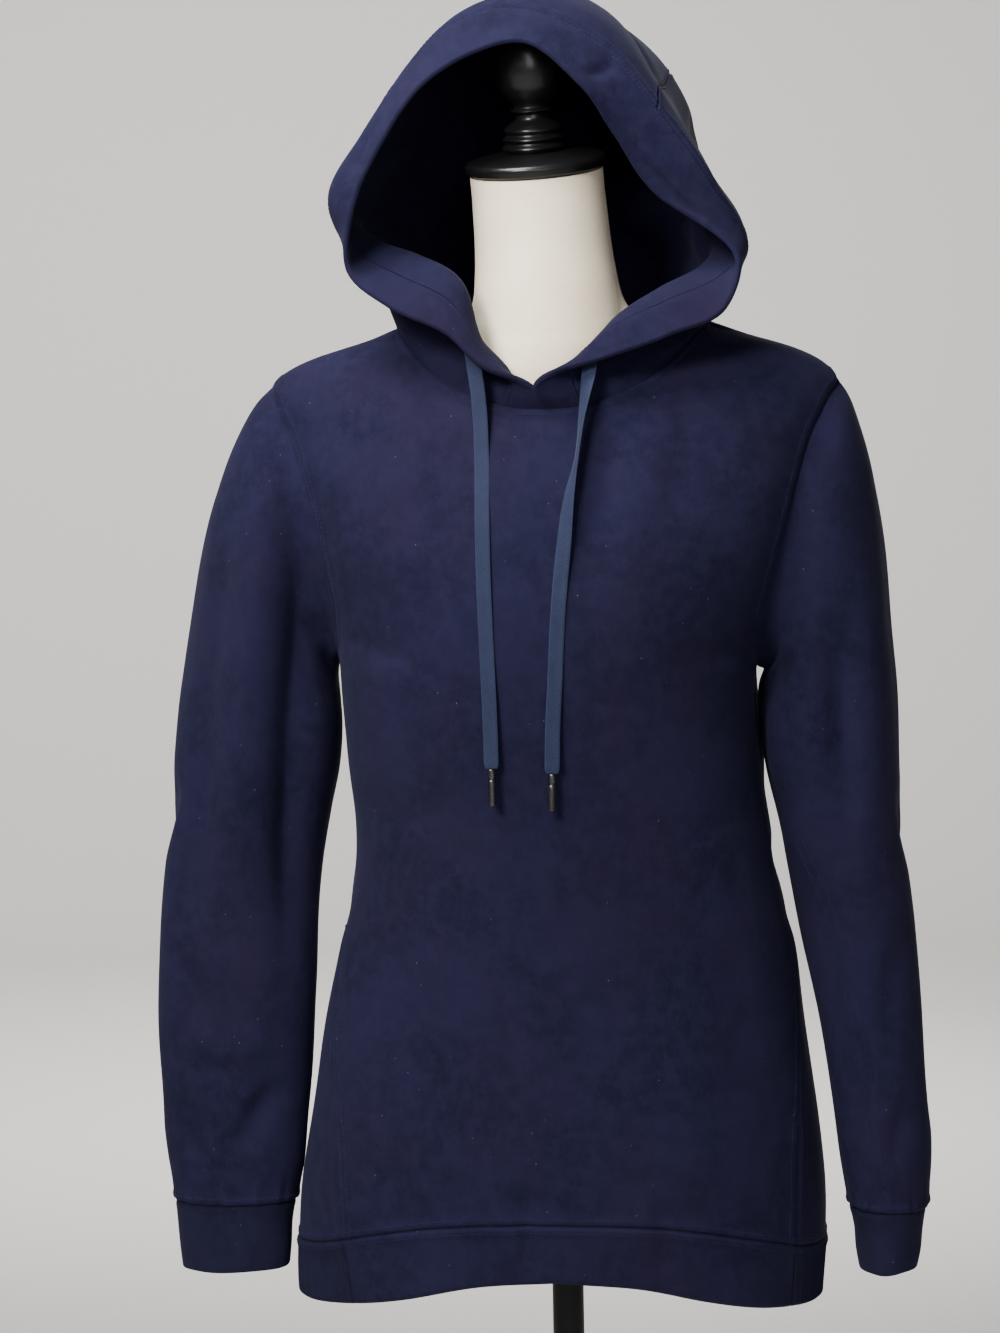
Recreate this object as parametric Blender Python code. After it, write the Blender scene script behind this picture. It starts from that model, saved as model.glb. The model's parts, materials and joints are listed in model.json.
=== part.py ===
"""Pullover hoodie worn on a limbless dress form with a pole stand.

Metres, +Z up. The front of the garment faces -Y and the wearer's left is at +X.
The origin is the centre of the base's underside, on the floor.

Every cloth piece is a wall of its own with open seams about half a millimetre wide.
The body panels lie on one smooth torso surface, the sleeves are lofted from the
armholes to the cuffs, and the hood is lofted through hoops that run from one side
of the neck seam over the crown to the other.
"""

import math
from collections import namedtuple

import bmesh
import bpy
import numpy as np
from mathutils import Vector

# ---------------------------------------------------------------- driving sizes

FLEECE = 0.0022          # one layer of sweatshirt fleece
DOUBLE_CLOTH = 0.0046    # a folded band: hem, cuffs and the cord casing
SEAM_RETREAT = 0.00025   # each edge stands back this far from its seam line
SECTION_POWER = 2.3      # 2 is an ellipse, more is boxier

SIDE_ROWS = 8            # rows of faces from the hem seam to the armpit
ARMHOLE_ROWS = 8         # rows from the armpit to the shoulder tip
SHOULDER_COLUMNS = 3
NECK_COLUMNS = 10
PANEL_COLUMNS = 2 * SHOULDER_COLUMNS + NECK_COLUMNS
SLEEVE_SIDES = 2 * ARMHOLE_ROWS

CORD_WIDTH = 0.011
CORD_THICKNESS = 0.0013
CORD_CLEARANCE = 0.0016  # from the cloth's surface to the middle of the tape
AGLET_LENGTH = 0.027
AGLET_RADIUS = 0.0029

POLE_RADIUS = 0.0122
BASE_RADIUS = 0.180
BASE_EDGE = 0.010
BASE_CROWN = 0.019

# ---------------------------------------------------------------- section tables

# Horizontal sections of the worn body: half widths to the viewer's left and right of
# the centre line, and depths in front of it and behind it.
TorsoRow = namedtuple("TorsoRow", "height left right front back")
TORSO = [
    TorsoRow(0.630, 0.206, 0.196, 0.123, 0.105),
    TorsoRow(0.666, 0.209, 0.199, 0.126, 0.108),
    TorsoRow(0.705, 0.209, 0.200, 0.127, 0.110),
    TorsoRow(0.740, 0.207, 0.200, 0.127, 0.111),
    TorsoRow(0.790, 0.200, 0.197, 0.125, 0.109),
    TorsoRow(0.840, 0.192, 0.191, 0.122, 0.104),
    TorsoRow(0.890, 0.183, 0.185, 0.119, 0.096),
    TorsoRow(0.940, 0.172, 0.179, 0.118, 0.089),
    TorsoRow(0.985, 0.161, 0.168, 0.119, 0.086),
    TorsoRow(1.030, 0.158, 0.162, 0.122, 0.087),
    TorsoRow(1.080, 0.163, 0.155, 0.127, 0.092),
    TorsoRow(1.125, 0.166, 0.151, 0.131, 0.098),
    TorsoRow(1.160, 0.168, 0.155, 0.133, 0.103),
    TorsoRow(1.200, 0.175, 0.168, 0.132, 0.108),
    TorsoRow(1.250, 0.191, 0.188, 0.124, 0.112),
    TorsoRow(1.300, 0.206, 0.204, 0.108, 0.113),
    TorsoRow(1.330, 0.213, 0.211, 0.095, 0.111),
    TorsoRow(1.352, 0.218, 0.216, 0.083, 0.107),
    TorsoRow(1.370, 0.217, 0.215, 0.069, 0.099),
    TorsoRow(1.381, 0.206, 0.204, 0.059, 0.091),
    TorsoRow(1.391, 0.184, 0.183, 0.049, 0.081),
    TorsoRow(1.401, 0.149, 0.151, 0.038, 0.070),
    TorsoRow(1.410, 0.122, 0.124, 0.028, 0.058),
    TorsoRow(1.420, 0.100, 0.102, 0.016, 0.044),
]

# The side seams: degrees round from the centre front, to each side.
SeamRow = namedtuple("SeamRow", "height left right")
SIDE_SEAM = [
    SeamRow(0.640, 43.0, 57.0),
    SeamRow(0.730, 49.0, 60.0),
    SeamRow(0.800, 55.0, 64.0),
    SeamRow(0.866, 65.0, 73.0),
    SeamRow(0.935, 77.0, 82.0),
    SeamRow(1.010, 85.0, 87.0),
    SeamRow(1.100, 89.0, 89.5),
    SeamRow(1.200, 90.0, 90.0),
]

# The hem band: degrees round from the centre front, the seam and the lower edge.
HemRow = namedtuple("HemRow", "angle seam edge")
HEM = [
    HemRow(0.0, 0.7460, 0.7040),
    HemRow(15.0, 0.7440, 0.6980),
    HemRow(30.0, 0.7370, 0.6865),
    HemRow(45.0, 0.7270, 0.6770),
    HemRow(60.0, 0.7170, 0.6710),
    HemRow(75.0, 0.7110, 0.6670),
    HemRow(90.0, 0.7080, 0.6645),
    HemRow(120.0, 0.7050, 0.6590),
    HemRow(180.0, 0.7040, 0.6560),
]

# The armhole: share of the way from armpit to shoulder tip, and degrees round from
# the centre front where the front and the back panel end.
ArmholeRow = namedtuple("ArmholeRow", "rise front back")
ARMHOLE = [
    ArmholeRow(0.000, 90.0, 90.0),
    ArmholeRow(0.045, 80.0, 99.0),
    ArmholeRow(0.160, 70.0, 108.0),
    ArmholeRow(0.330, 65.5, 113.0),
    ArmholeRow(0.670, 64.5, 114.0),
    ArmholeRow(0.830, 69.0, 110.0),
    ArmholeRow(0.945, 78.0, 102.0),
    ArmholeRow(1.000, 90.0, 90.0),
]

Side = namedtuple("Side", "name sign armpit shoulder_tip shoulder_angle")
LEFT = Side("left", -1, 1.158, 1.374, 90.0)
RIGHT = Side("right", 1, 1.148, 1.368, 84.0)

# The neck seam: distance from the centre line, and height.
NeckRow = namedtuple("NeckRow", "across height")
NECK_FRONT = [
    NeckRow(0.000, 1.3430),
    NeckRow(0.022, 1.3440),
    NeckRow(0.042, 1.3495),
    NeckRow(0.062, 1.3575),
    NeckRow(0.080, 1.3685),
    NeckRow(0.094, 1.3810),
    NeckRow(0.106, 1.3940),
    NeckRow(0.1145, 1.4060),
    NeckRow(0.117, 1.4120),
]
NECK_BACK = [
    NeckRow(0.000, 1.3980),
    NeckRow(0.035, 1.3985),
    NeckRow(0.065, 1.4000),
    NeckRow(0.090, 1.4030),
    NeckRow(0.107, 1.4070),
    NeckRow(0.1145, 1.4100),
    NeckRow(0.117, 1.4120),
]

# Sleeve sections, each given by its outer and its inner point, by how far it bulges
# to the front and to the back, and by where its middle lies.
SleeveRow = namedtuple("SleeveRow", "outer outer_height inner inner_height front back middle")
SLEEVES = {
    "left": [
        SleeveRow(0.2345, 1.352, 0.1715, 1.153, 0.058, 0.056, 0.000),
        SleeveRow(0.2500, 1.322, 0.1725, 1.143, 0.058, 0.055, 0.000),
        SleeveRow(0.2640, 1.283, 0.1715, 1.128, 0.057, 0.052, 0.000),
        SleeveRow(0.2750, 1.237, 0.1705, 1.105, 0.055, 0.048, 0.000),
        SleeveRow(0.2860, 1.185, 0.1725, 1.075, 0.052, 0.045, -0.001),
        SleeveRow(0.2950, 1.125, 0.1790, 1.042, 0.049, 0.042, -0.002),
        SleeveRow(0.3030, 1.060, 0.1860, 1.000, 0.045, 0.039, -0.004),
        SleeveRow(0.3100, 0.995, 0.1905, 0.955, 0.041, 0.036, -0.006),
        SleeveRow(0.3155, 0.930, 0.1925, 0.908, 0.038, 0.034, -0.009),
        SleeveRow(0.3175, 0.868, 0.1955, 0.856, 0.035, 0.032, -0.011),
        SleeveRow(0.3160, 0.812, 0.2000, 0.806, 0.033, 0.031, -0.013),
        SleeveRow(0.3115, 0.766, 0.2040, 0.764, 0.031, 0.030, -0.015),
        SleeveRow(0.3060, 0.7375, 0.2100, 0.7375, 0.029, 0.029, -0.016),
    ],
    "right": [
        SleeveRow(0.2290, 1.345, 0.1590, 1.144, 0.058, 0.056, 0.000),
        SleeveRow(0.2375, 1.314, 0.1570, 1.135, 0.059, 0.055, 0.000),
        SleeveRow(0.2450, 1.272, 0.1570, 1.119, 0.058, 0.053, 0.000),
        SleeveRow(0.2500, 1.225, 0.1585, 1.095, 0.056, 0.050, 0.000),
        SleeveRow(0.2540, 1.170, 0.1625, 1.064, 0.054, 0.047, -0.001),
        SleeveRow(0.2580, 1.112, 0.1690, 1.029, 0.052, 0.045, -0.003),
        SleeveRow(0.2615, 1.050, 0.1755, 0.990, 0.050, 0.043, -0.006),
        SleeveRow(0.2665, 0.987, 0.1830, 0.947, 0.047, 0.041, -0.009),
        SleeveRow(0.2720, 0.925, 0.1910, 0.903, 0.044, 0.039, -0.013),
        SleeveRow(0.2760, 0.864, 0.1995, 0.855, 0.041, 0.037, -0.016),
        SleeveRow(0.2795, 0.808, 0.2070, 0.804, 0.039, 0.035, -0.019),
        SleeveRow(0.2800, 0.764, 0.2130, 0.762, 0.037, 0.033, -0.021),
        SleeveRow(0.2770, 0.7375, 0.2175, 0.7375, 0.035, 0.032, -0.022),
    ],
}
CUFFS = {
    "left": [
        SleeveRow(0.3050, 0.7365, 0.2110, 0.7365, 0.028, 0.028, -0.016),
        SleeveRow(0.3035, 0.7200, 0.2135, 0.7200, 0.028, 0.028, -0.016),
        SleeveRow(0.3015, 0.7020, 0.2140, 0.7020, 0.028, 0.028, -0.017),
        SleeveRow(0.2990, 0.6840, 0.2150, 0.6860, 0.027, 0.027, -0.018),
    ],
    "right": [
        SleeveRow(0.2760, 0.7365, 0.2185, 0.7365, 0.034, 0.031, -0.022),
        SleeveRow(0.2735, 0.7200, 0.2225, 0.7200, 0.033, 0.031, -0.022),
        SleeveRow(0.2715, 0.7050, 0.2240, 0.7030, 0.033, 0.031, -0.023),
        SleeveRow(0.2680, 0.6925, 0.2265, 0.6885, 0.032, 0.030, -0.024),
    ],
}

# The hood's hoops, from the viewer's left end over the crown to the right end. The
# first three share their stations: the folded front edge, the casing's stitch line,
# and the line where the lower front rolls outwards like a lapel.
Point = namedtuple("Point", "x y z")
HOOD_EDGE = [
    Point(-0.012, -0.095, 1.3530),
    Point(-0.042, -0.101, 1.3710),
    Point(-0.073, -0.099, 1.3985),
    Point(-0.116, -0.090, 1.4200),
    Point(-0.146, -0.082, 1.4480),
    Point(-0.140, -0.092, 1.4900),
    Point(-0.117, -0.094, 1.5400),
    Point(-0.086, -0.093, 1.5800),
    Point(-0.046, -0.093, 1.6030),
    Point(-0.010, -0.094, 1.6080),
    Point(0.028, -0.096, 1.5770),
    Point(0.053, -0.085, 1.5410),
    Point(0.083, -0.075, 1.4980),
    Point(0.142, -0.086, 1.4470),
    Point(0.134, -0.087, 1.4150),
    Point(0.091, -0.097, 1.3930),
    Point(0.040, -0.101, 1.3760),
    Point(0.008, -0.095, 1.3570),
]
HOOD_STITCH = [
    Point(-0.024, -0.088, 1.3600),
    Point(-0.046, -0.091, 1.3860),
    Point(-0.070, -0.087, 1.4230),
    Point(-0.108, -0.074, 1.4440),
    Point(-0.141, -0.060, 1.4640),
    Point(-0.159, -0.070, 1.4985),
    Point(-0.135, -0.075, 1.5460),
    Point(-0.101, -0.074, 1.5920),
    Point(-0.062, -0.074, 1.6290),
    Point(-0.014, -0.075, 1.6370),
    Point(0.040, -0.079, 1.6110),
    Point(0.089, -0.082, 1.5540),
    Point(0.125, -0.078, 1.5030),
    Point(0.147, -0.062, 1.4560),
    Point(0.128, -0.070, 1.4380),
    Point(0.087, -0.083, 1.4190),
    Point(0.043, -0.090, 1.3970),
    Point(0.020, -0.088, 1.3640),
]
HOOD_ROLL = [
    Point(-0.029, -0.081, 1.3650),
    Point(-0.048, -0.078, 1.3960),
    Point(-0.063, -0.073, 1.4380),
    Point(-0.097, -0.058, 1.4600),
    Point(-0.131, -0.042, 1.4760),
    Point(-0.160, -0.048, 1.5020),
    Point(-0.135, -0.050, 1.5520),
    Point(-0.100, -0.048, 1.6050),
    Point(-0.057, -0.048, 1.6430),
    Point(-0.012, -0.048, 1.6550),
    Point(0.040, -0.052, 1.6340),
    Point(0.089, -0.058, 1.5740),
    Point(0.122, -0.056, 1.5150),
    Point(0.141, -0.038, 1.4720),
    Point(0.119, -0.052, 1.4500),
    Point(0.083, -0.069, 1.4300),
    Point(0.045, -0.077, 1.4040),
    Point(0.027, -0.081, 1.3690),
]
HOOD_CHEEK = [
    Point(-0.128, -0.016, 1.4420),
    Point(-0.146, -0.006, 1.5000),
    Point(-0.117, -0.002, 1.5720),
    Point(-0.066, 0.000, 1.6400),
    Point(-0.006, 0.002, 1.6680),
    Point(0.052, 0.000, 1.6430),
    Point(0.096, -0.002, 1.5730),
    Point(0.116, -0.006, 1.5050),
    Point(0.124, -0.014, 1.4480),
]
HOOD_REAR = [
    Point(-0.116, 0.056, 1.4500),
    Point(-0.123, 0.070, 1.5050),
    Point(-0.100, 0.072, 1.5700),
    Point(-0.054, 0.070, 1.6310),
    Point(0.000, 0.068, 1.6600),
    Point(0.065, 0.066, 1.6410),
    Point(0.109, 0.066, 1.5780),
    Point(0.114, 0.066, 1.5150),
    Point(0.109, 0.056, 1.4520),
]
HOOD_NAPE = [
    Point(-0.088, 0.098, 1.4350),
    Point(-0.090, 0.118, 1.4800),
    Point(-0.074, 0.124, 1.5200),
    Point(-0.040, 0.126, 1.5480),
    Point(0.000, 0.127, 1.5580),
    Point(0.042, 0.125, 1.5480),
    Point(0.076, 0.122, 1.5200),
    Point(0.090, 0.116, 1.4800),
    Point(0.088, 0.098, 1.4350),
]
# Shares of the way along the cheek and rear hoops at which their stations lie, chosen
# so that the stations sit beside those of the rolled edge in front of them.
CHEEK_SHARES = (0.000, 0.130, 0.235, 0.330, 0.430, 0.510, 0.585, 0.665, 0.748, 0.850, 1.000)
REAR_SHARES = (0.000, 0.110, 0.205, 0.305, 0.410, 0.502, 0.595, 0.695, 0.785, 0.885, 1.000)
# Where each hoop stands on the neck seam, as a share of the way from the centre
# front to the centre back. The last hoop is the back of the neck seam itself.
HOOP_FEET = (0.004, 0.085, 0.130, 0.480, 0.680, 0.790)
NECK_SEAM_BACK_FOOT = 0.860
HOOP_POSITIONS = (0.000, 0.085, 0.150, 0.270, 0.480, 0.720, 1.000)
CASING_SHARE = HOOP_POSITIONS[1]
CENTRE_PANEL = 0.145     # half its width, as a share of a hoop's length

HOOD_SIDE_COLUMNS = 13
HOOD_CENTRE_COLUMNS = 8
HOOD_ROWS = 10

# The dress form: the torso's half width, front and back depth, and the neck's
# radius. The neck stands forward of the pole and leans a little.
FormRow = namedtuple("FormRow", "height width front back neck")
FORM = [
    FormRow(0.790, 0.128, 0.080, 0.066, 0.010),
    FormRow(0.793, 0.148, 0.094, 0.079, 0.010),
    FormRow(0.805, 0.160, 0.103, 0.087, 0.010),
    FormRow(0.850, 0.172, 0.108, 0.091, 0.010),
    FormRow(0.900, 0.168, 0.106, 0.085, 0.010),
    FormRow(0.960, 0.153, 0.100, 0.077, 0.010),
    FormRow(1.010, 0.146, 0.098, 0.073, 0.010),
    FormRow(1.070, 0.144, 0.106, 0.079, 0.010),
    FormRow(1.125, 0.140, 0.118, 0.088, 0.010),
    FormRow(1.180, 0.146, 0.122, 0.096, 0.010),
    FormRow(1.240, 0.160, 0.115, 0.101, 0.010),
    FormRow(1.300, 0.180, 0.090, 0.104, 0.020),
    FormRow(1.335, 0.192, 0.070, 0.105, 0.040),
    FormRow(1.356, 0.194, 0.052, 0.100, 0.054),
    FormRow(1.370, 0.184, 0.041, 0.092, 0.059),
    FormRow(1.381, 0.164, 0.032, 0.082, 0.060),
    FormRow(1.391, 0.134, 0.024, 0.069, 0.060),
    FormRow(1.402, 0.102, 0.018, 0.054, 0.059),
    FormRow(1.415, 0.070, 0.014, 0.040, 0.0575),
    FormRow(1.435, 0.045, 0.012, 0.028, 0.0555),
    FormRow(1.465, 0.030, 0.010, 0.018, 0.0525),
    FormRow(1.510, 0.020, 0.010, 0.012, 0.0505),
]
NECK_LEAN_START = 1.400
NECK_FOOT = Vector((0.000, -0.010, 1.400))
NECK_TOP = Vector((-0.009, -0.019, 1.5270))
CAP_AXIS = Vector((-0.045, -0.290, 1.000)).normalized()
FORM_SIDES = 26

# Turned profiles of the neck cap and its finial: radius, and height up the axis.
ProfileRow = namedtuple("ProfileRow", "radius height")
CAP_PROFILE = [
    ProfileRow(0.0505, 0.0000),
    ProfileRow(0.0535, 0.0025),
    ProfileRow(0.0540, 0.0065),
    ProfileRow(0.0520, 0.0095),
    ProfileRow(0.0400, 0.0125),
    ProfileRow(0.0260, 0.0150),
]
FINIAL_PROFILE = [
    ProfileRow(0.0225, 0.0153),
    ProfileRow(0.0245, 0.0185),
    ProfileRow(0.0215, 0.0220),
    ProfileRow(0.0235, 0.0250),
    ProfileRow(0.0205, 0.0285),
    ProfileRow(0.0220, 0.0315),
    ProfileRow(0.0190, 0.0350),
    ProfileRow(0.0130, 0.0400),
    ProfileRow(0.0125, 0.0430),
    ProfileRow(0.0160, 0.0455),
    ProfileRow(0.0130, 0.0485),
    ProfileRow(0.0190, 0.0560),
    ProfileRow(0.0245, 0.0660),
    ProfileRow(0.0262, 0.0770),
    ProfileRow(0.0245, 0.0890),
    ProfileRow(0.0195, 0.1000),
    ProfileRow(0.0110, 0.1075),
]
TURNED_SIDES = 20

# The drawcords: across, up, how far in front of the stand's axis, and how many degrees
# the tape is turned away from lying flat. None in front means that it lies on the cloth.
CordRow = namedtuple("CordRow", "across height front turn")
CORDS = {
    "left": [
        CordRow(-0.0536, 1.3825, 0.0912, 8.0),
        CordRow(-0.0522, 1.3740, 0.0930, 7.0),
        CordRow(-0.0500, 1.3600, 0.0958, 5.0),
        CordRow(-0.0480, 1.3400, 0.0985, 2.0),
        CordRow(-0.0466, 1.3100, None, 0.0),
        CordRow(-0.0455, 1.2600, None, 0.0),
        CordRow(-0.0445, 1.2200, None, 0.0),
        CordRow(-0.0425, 1.1600, None, 0.0),
        CordRow(-0.0415, 1.1200, 0.1326, 0.0),
        CordRow(-0.0410, 1.0820, 0.1318, 0.0),
    ],
    "right": [
        CordRow(0.0318, 1.3655, 0.0965, 20.0),
        CordRow(0.0305, 1.3580, 0.0985, 35.0),
        CordRow(0.0275, 1.3400, 0.1015, 58.0),
        CordRow(0.0235, 1.3080, 0.1125, 72.0),
        CordRow(0.0175, 1.2760, 0.1215, 42.0),
        CordRow(0.0140, 1.2440, 0.1280, 14.0),
        CordRow(0.0095, 1.1980, None, 0.0),
        CordRow(0.0060, 1.1420, 0.1344, 0.0),
        CordRow(0.0040, 1.1100, 0.1342, 0.0),
        CordRow(0.0030, 1.0780, 0.1334, 0.0),
    ],
}
CORD_STEPS = 28

# ---------------------------------------------------------------- finishes

Finish = namedtuple("Finish", "colour roughness metallic")
NAVY_FLEECE = Finish((0.016, 0.016, 0.045), 0.92, 0.0)
NAVY_RIB = Finish((0.014, 0.014, 0.040), 0.94, 0.0)
CORD_BLUE = Finish((0.030, 0.042, 0.100), 0.80, 0.0)
GUNMETAL = Finish((0.080, 0.080, 0.085), 0.35, 1.0)
LINEN = Finish((0.620, 0.560, 0.460), 0.88, 0.0)
BLACK_GLOSS = Finish((0.006, 0.006, 0.006), 0.18, 0.0)
BLACK_SATIN = Finish((0.008, 0.008, 0.008), 0.35, 0.0)


# ---------------------------------------------------------------- curves

def steady_slopes(knots, values):
    """Slopes that never carry a curve past its own rows of values."""
    rises = np.diff(values, axis=0) / np.diff(knots)[:, None]
    before, after = rises[:-1], rises[1:]
    agree = before * after > 0
    total = np.where(agree, before + after, 1.0)
    inner = np.where(agree, 2 * before * after / total, 0.0)
    return np.concatenate((rises[:1], inner, rises[-1:]))


def spline(knots, values, at, steady=False):
    """Point at a knot value on a cubic Hermite curve through rows of values."""
    knots = np.asarray(knots, dtype=float)
    values = np.asarray(values, dtype=float)
    slopes = steady_slopes(knots, values) if steady else np.gradient(values, knots, axis=0)
    at = min(max(at, knots[0]), knots[-1])
    k = min(int(np.searchsorted(knots, at, side="right")) - 1, len(knots) - 2)
    k = max(k, 0)
    span = knots[k + 1] - knots[k]
    t = (at - knots[k]) / span
    start = (1 + 2 * t) * (1 - t) ** 2 * values[k] + t * (1 - t) ** 2 * span * slopes[k]
    end = t * t * (3 - 2 * t) * values[k + 1] - t * t * (1 - t) * span * slopes[k + 1]
    return start + end


def along(table, at):
    """The other columns of a table, read smoothly at a value of its first column."""
    rows = np.asarray(table, dtype=float)
    return spline(rows[:, 0], rows[:, 1:], at)


def lengths(points):
    """Running length along a list of points."""
    steps = [(b - a).length for a, b in zip(points, points[1:])]
    return np.concatenate(([0.0], np.cumsum(steps)))


def evenly(curve, count, place, crowding=1.0):
    """Parameter rows spaced evenly by the length of the curve that place() gives.

    curve(t) gives a parameter row for t from 0 to 1. Crowding above 1 sets the rows
    closer together towards the curve's end.
    """
    fine = [t / 80 for t in range(81)]
    run = lengths([place(*curve(t)) for t in fine])
    shares = 1 - (1 - np.linspace(0, 1, count + 1)) ** crowding
    return [curve(t) for t in np.interp(shares * run[-1], run, fine)]


# ---------------------------------------------------------------- the torso surface

def superellipse(width, depth, angle, power=SECTION_POWER):
    """Point at an angle round from the front of a section with rounded ends."""
    across, forward = math.sin(angle), math.cos(angle)
    x = width * math.copysign(abs(across) ** (2 / power), across)
    y = -depth * math.copysign(abs(forward) ** (2 / power), forward)
    return x, y


def torso_point(angle, height):
    """Point of the outer cloth surface of the body, angle in radians."""
    left, right, front, back = along(TORSO, height)
    width = right if math.sin(angle) > 0 else left
    depth = front if math.cos(angle) > 0 else back
    x, y = superellipse(width, depth, angle)
    return Vector((x, y, height))


def torso_normal(angle, height):
    """Direction straight out of the body's cloth."""
    turn, rise = 0.004, 0.0015
    round_way = torso_point(angle + turn, height) - torso_point(angle - turn, height)
    up_way = torso_point(angle, height + rise) - torso_point(angle, height - rise)
    return round_way.cross(up_way).normalized()


def angle_across(across, height, behind=False):
    """Angle at which the body's section at a height is this far from its middle."""
    left, right, _front, _back = along(TORSO, height)
    width = right if across > 0 else left
    share = min(abs(across) / width, 1.0) ** (SECTION_POWER / 2)
    angle = math.copysign(math.asin(share), across)
    return math.copysign(math.pi, across) - angle if behind else angle


def hem_heights(angle):
    """Heights of the hem seam and of the hem's lower edge at an angle."""
    round_from_front = math.degrees(math.acos(max(-1.0, min(1.0, math.cos(angle)))))
    return along(HEM, round_from_front)


def side_seam(side, height):
    """Angle of a side seam at a height."""
    left, right = along(SIDE_SEAM, height)
    return math.radians(right if side.sign > 0 else left) * side.sign


def hem_end(side, edge=False):
    """Height where a side seam meets the hem seam, or the hem's lower edge."""
    height = HEM[0].seam
    for _ in range(6):
        height = float(hem_heights(side_seam(side, height))[1 if edge else 0])
    return height


def side_seam_edge(side):
    """Parameter rows up a side seam, from the hem seam to the armpit."""
    bottom = hem_end(side)

    def curve(t):
        height = bottom + (side.armpit - bottom) * t
        return side_seam(side, height), height

    return evenly(curve, SIDE_ROWS, torso_point)


def armhole_edge(side, column):
    """Parameter rows up the front or the back of an armhole, armpit to shoulder."""
    def curve(t):
        front, back = along(ARMHOLE, t)
        angle = front if column == "front" else back
        return math.radians(angle) * side.sign, side.armpit + (side.shoulder_tip - side.armpit) * t

    edge = evenly(curve, ARMHOLE_ROWS, torso_point, crowding=1.35)
    edge[0] = (side_seam(side, side.armpit), side.armpit)
    edge[-1] = (math.radians(side.shoulder_angle) * side.sign, side.shoulder_tip)
    return edge


def neck_edge(side, rows, behind):
    """Parameter rows along half the neck seam, from the shoulder to the centre."""
    knots = np.linspace(0, 1, len(rows))

    def curve(t):
        across, height = spline(knots, rows, 1 - t)
        return angle_across(side.sign * max(across, 1e-6), height, behind), height

    edge = evenly(curve, NECK_COLUMNS // 2, torso_point)
    edge[0] = (math.radians(side.shoulder_angle) * side.sign, edge[0][1])
    return edge


def shoulder_edge(side):
    """Parameter rows along a shoulder seam, from the tip to the neck."""
    angle = math.radians(side.shoulder_angle) * side.sign

    def curve(t):
        return angle, side.shoulder_tip + (NECK_FRONT[-1].height - side.shoulder_tip) * t

    return evenly(curve, SHOULDER_COLUMNS, torso_point)


def fill(bottom, top, left, right):
    """Grid of rows of number pairs that blends four edges, rows going up."""
    bottom, top, left, right = (np.asarray(edge, dtype=float) for edge in (bottom, top, left, right))
    across = np.linspace(0, 1, len(bottom))[:, None]
    heights = left[:, 1] + right[:, 1]
    rises = (heights - heights[0]) / (heights[-1] - heights[0])
    grid = []
    for low_left, low_right, up in zip(left, right, rises):
        between = (1 - across) * low_left + across * low_right
        ends = (1 - up) * bottom + up * top
        corners = (1 - across) * ((1 - up) * left[0] + up * left[-1])
        corners = corners + across * ((1 - up) * right[0] + up * right[-1])
        grid.append(between + ends - corners)
    return grid


def as_across(rows):
    """Parameter rows as distances from the centre line and heights."""
    return [(torso_point(*row).x, row[1]) for row in rows]


# ---------------------------------------------------------------- meshes

def finish_material(name, finish):
    """Plain material with a colour, a roughness and a metallic value."""
    material = bpy.data.materials.new(name)
    material.use_nodes = True
    shader = material.node_tree.nodes["Principled BSDF"]
    shader.inputs["Base Color"].default_value = (*finish.colour, 1.0)
    shader.inputs["Roughness"].default_value = finish.roughness
    shader.inputs["Metallic"].default_value = finish.metallic
    return material


def add_object(name, mesh_data, finish, rounded=True):
    """Turn a bmesh into a named object with its own material."""
    bmesh.ops.recalc_face_normals(mesh_data, faces=mesh_data.faces)
    mesh = bpy.data.meshes.new(name)
    mesh_data.to_mesh(mesh)
    mesh_data.free()
    mesh.materials.append(finish_material(name, finish))
    if rounded:
        mesh.shade_smooth()
        mesh.set_sharp_from_angle(angle=math.radians(40))
    item = bpy.data.objects.new(name, mesh)
    bpy.context.scene.collection.objects.link(item)
    return item


def faces_between(mesh_data, lower, upper, closed):
    """Quads between two equally long loops of vertices."""
    count = len(lower)
    for k in range(count if closed else count - 1):
        after = (k + 1) % count
        mesh_data.faces.new((lower[k], lower[after], upper[after], upper[k]))


def cloth_wall(name, outer, inner, finish, closed=False):
    """A wall of cloth between an outer and an inner grid of points."""
    mesh_data = bmesh.new()
    outside = [[mesh_data.verts.new(p) for p in row] for row in outer]
    inside = [[mesh_data.verts.new(p) for p in row] for row in inner]
    for grid in (outside, inside):
        for lower, upper in zip(grid, grid[1:]):
            faces_between(mesh_data, lower, upper, closed)
    faces_between(mesh_data, outside[0], inside[0], closed)
    faces_between(mesh_data, outside[-1], inside[-1], closed)
    if not closed:
        for column in (0, -1):
            edge = [row[column] for row in outside]
            back_edge = [row[column] for row in inside]
            faces_between(mesh_data, edge, back_edge, False)
    return add_object(name, mesh_data, finish)


def drawn_back(points, sides="both"):
    """Move a grid's border inwards, so that it stands clear of its seams."""
    moved = [[p.copy() for p in row] for row in points]

    def pull(row, column, next_row, next_column):
        way = points[next_row][next_column] - points[row][column]
        if way.length > 1e-6:
            moved[row][column] += way.normalized() * SEAM_RETREAT

    last_row, last_column = len(points) - 1, len(points[0]) - 1
    for column in range(last_column + 1):
        pull(0, column, 1, column)
        pull(last_row, column, last_row - 1, column)
    if sides == "both":
        for row in range(last_row + 1):
            pull(row, 0, row, 1)
            pull(row, last_column, row, last_column - 1)
    return moved


def torso_piece(name, grid, thickness, finish, proud=0.0):
    """A cloth piece on the torso surface, from a grid of parameter rows."""
    points = [[torso_point(angle, height) for angle, height in row] for row in grid]
    normals = [[torso_normal(angle, height) for angle, height in row] for row in grid]
    points = drawn_back(points)
    outer = [[p + n * proud for p, n in zip(*rows)] for rows in zip(points, normals)]
    inner = [[p - n * (thickness - proud) for p, n in zip(*rows)] for rows in zip(points, normals)]
    return cloth_wall(name, outer, inner, finish)


# ---------------------------------------------------------------- body panels and hem

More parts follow.
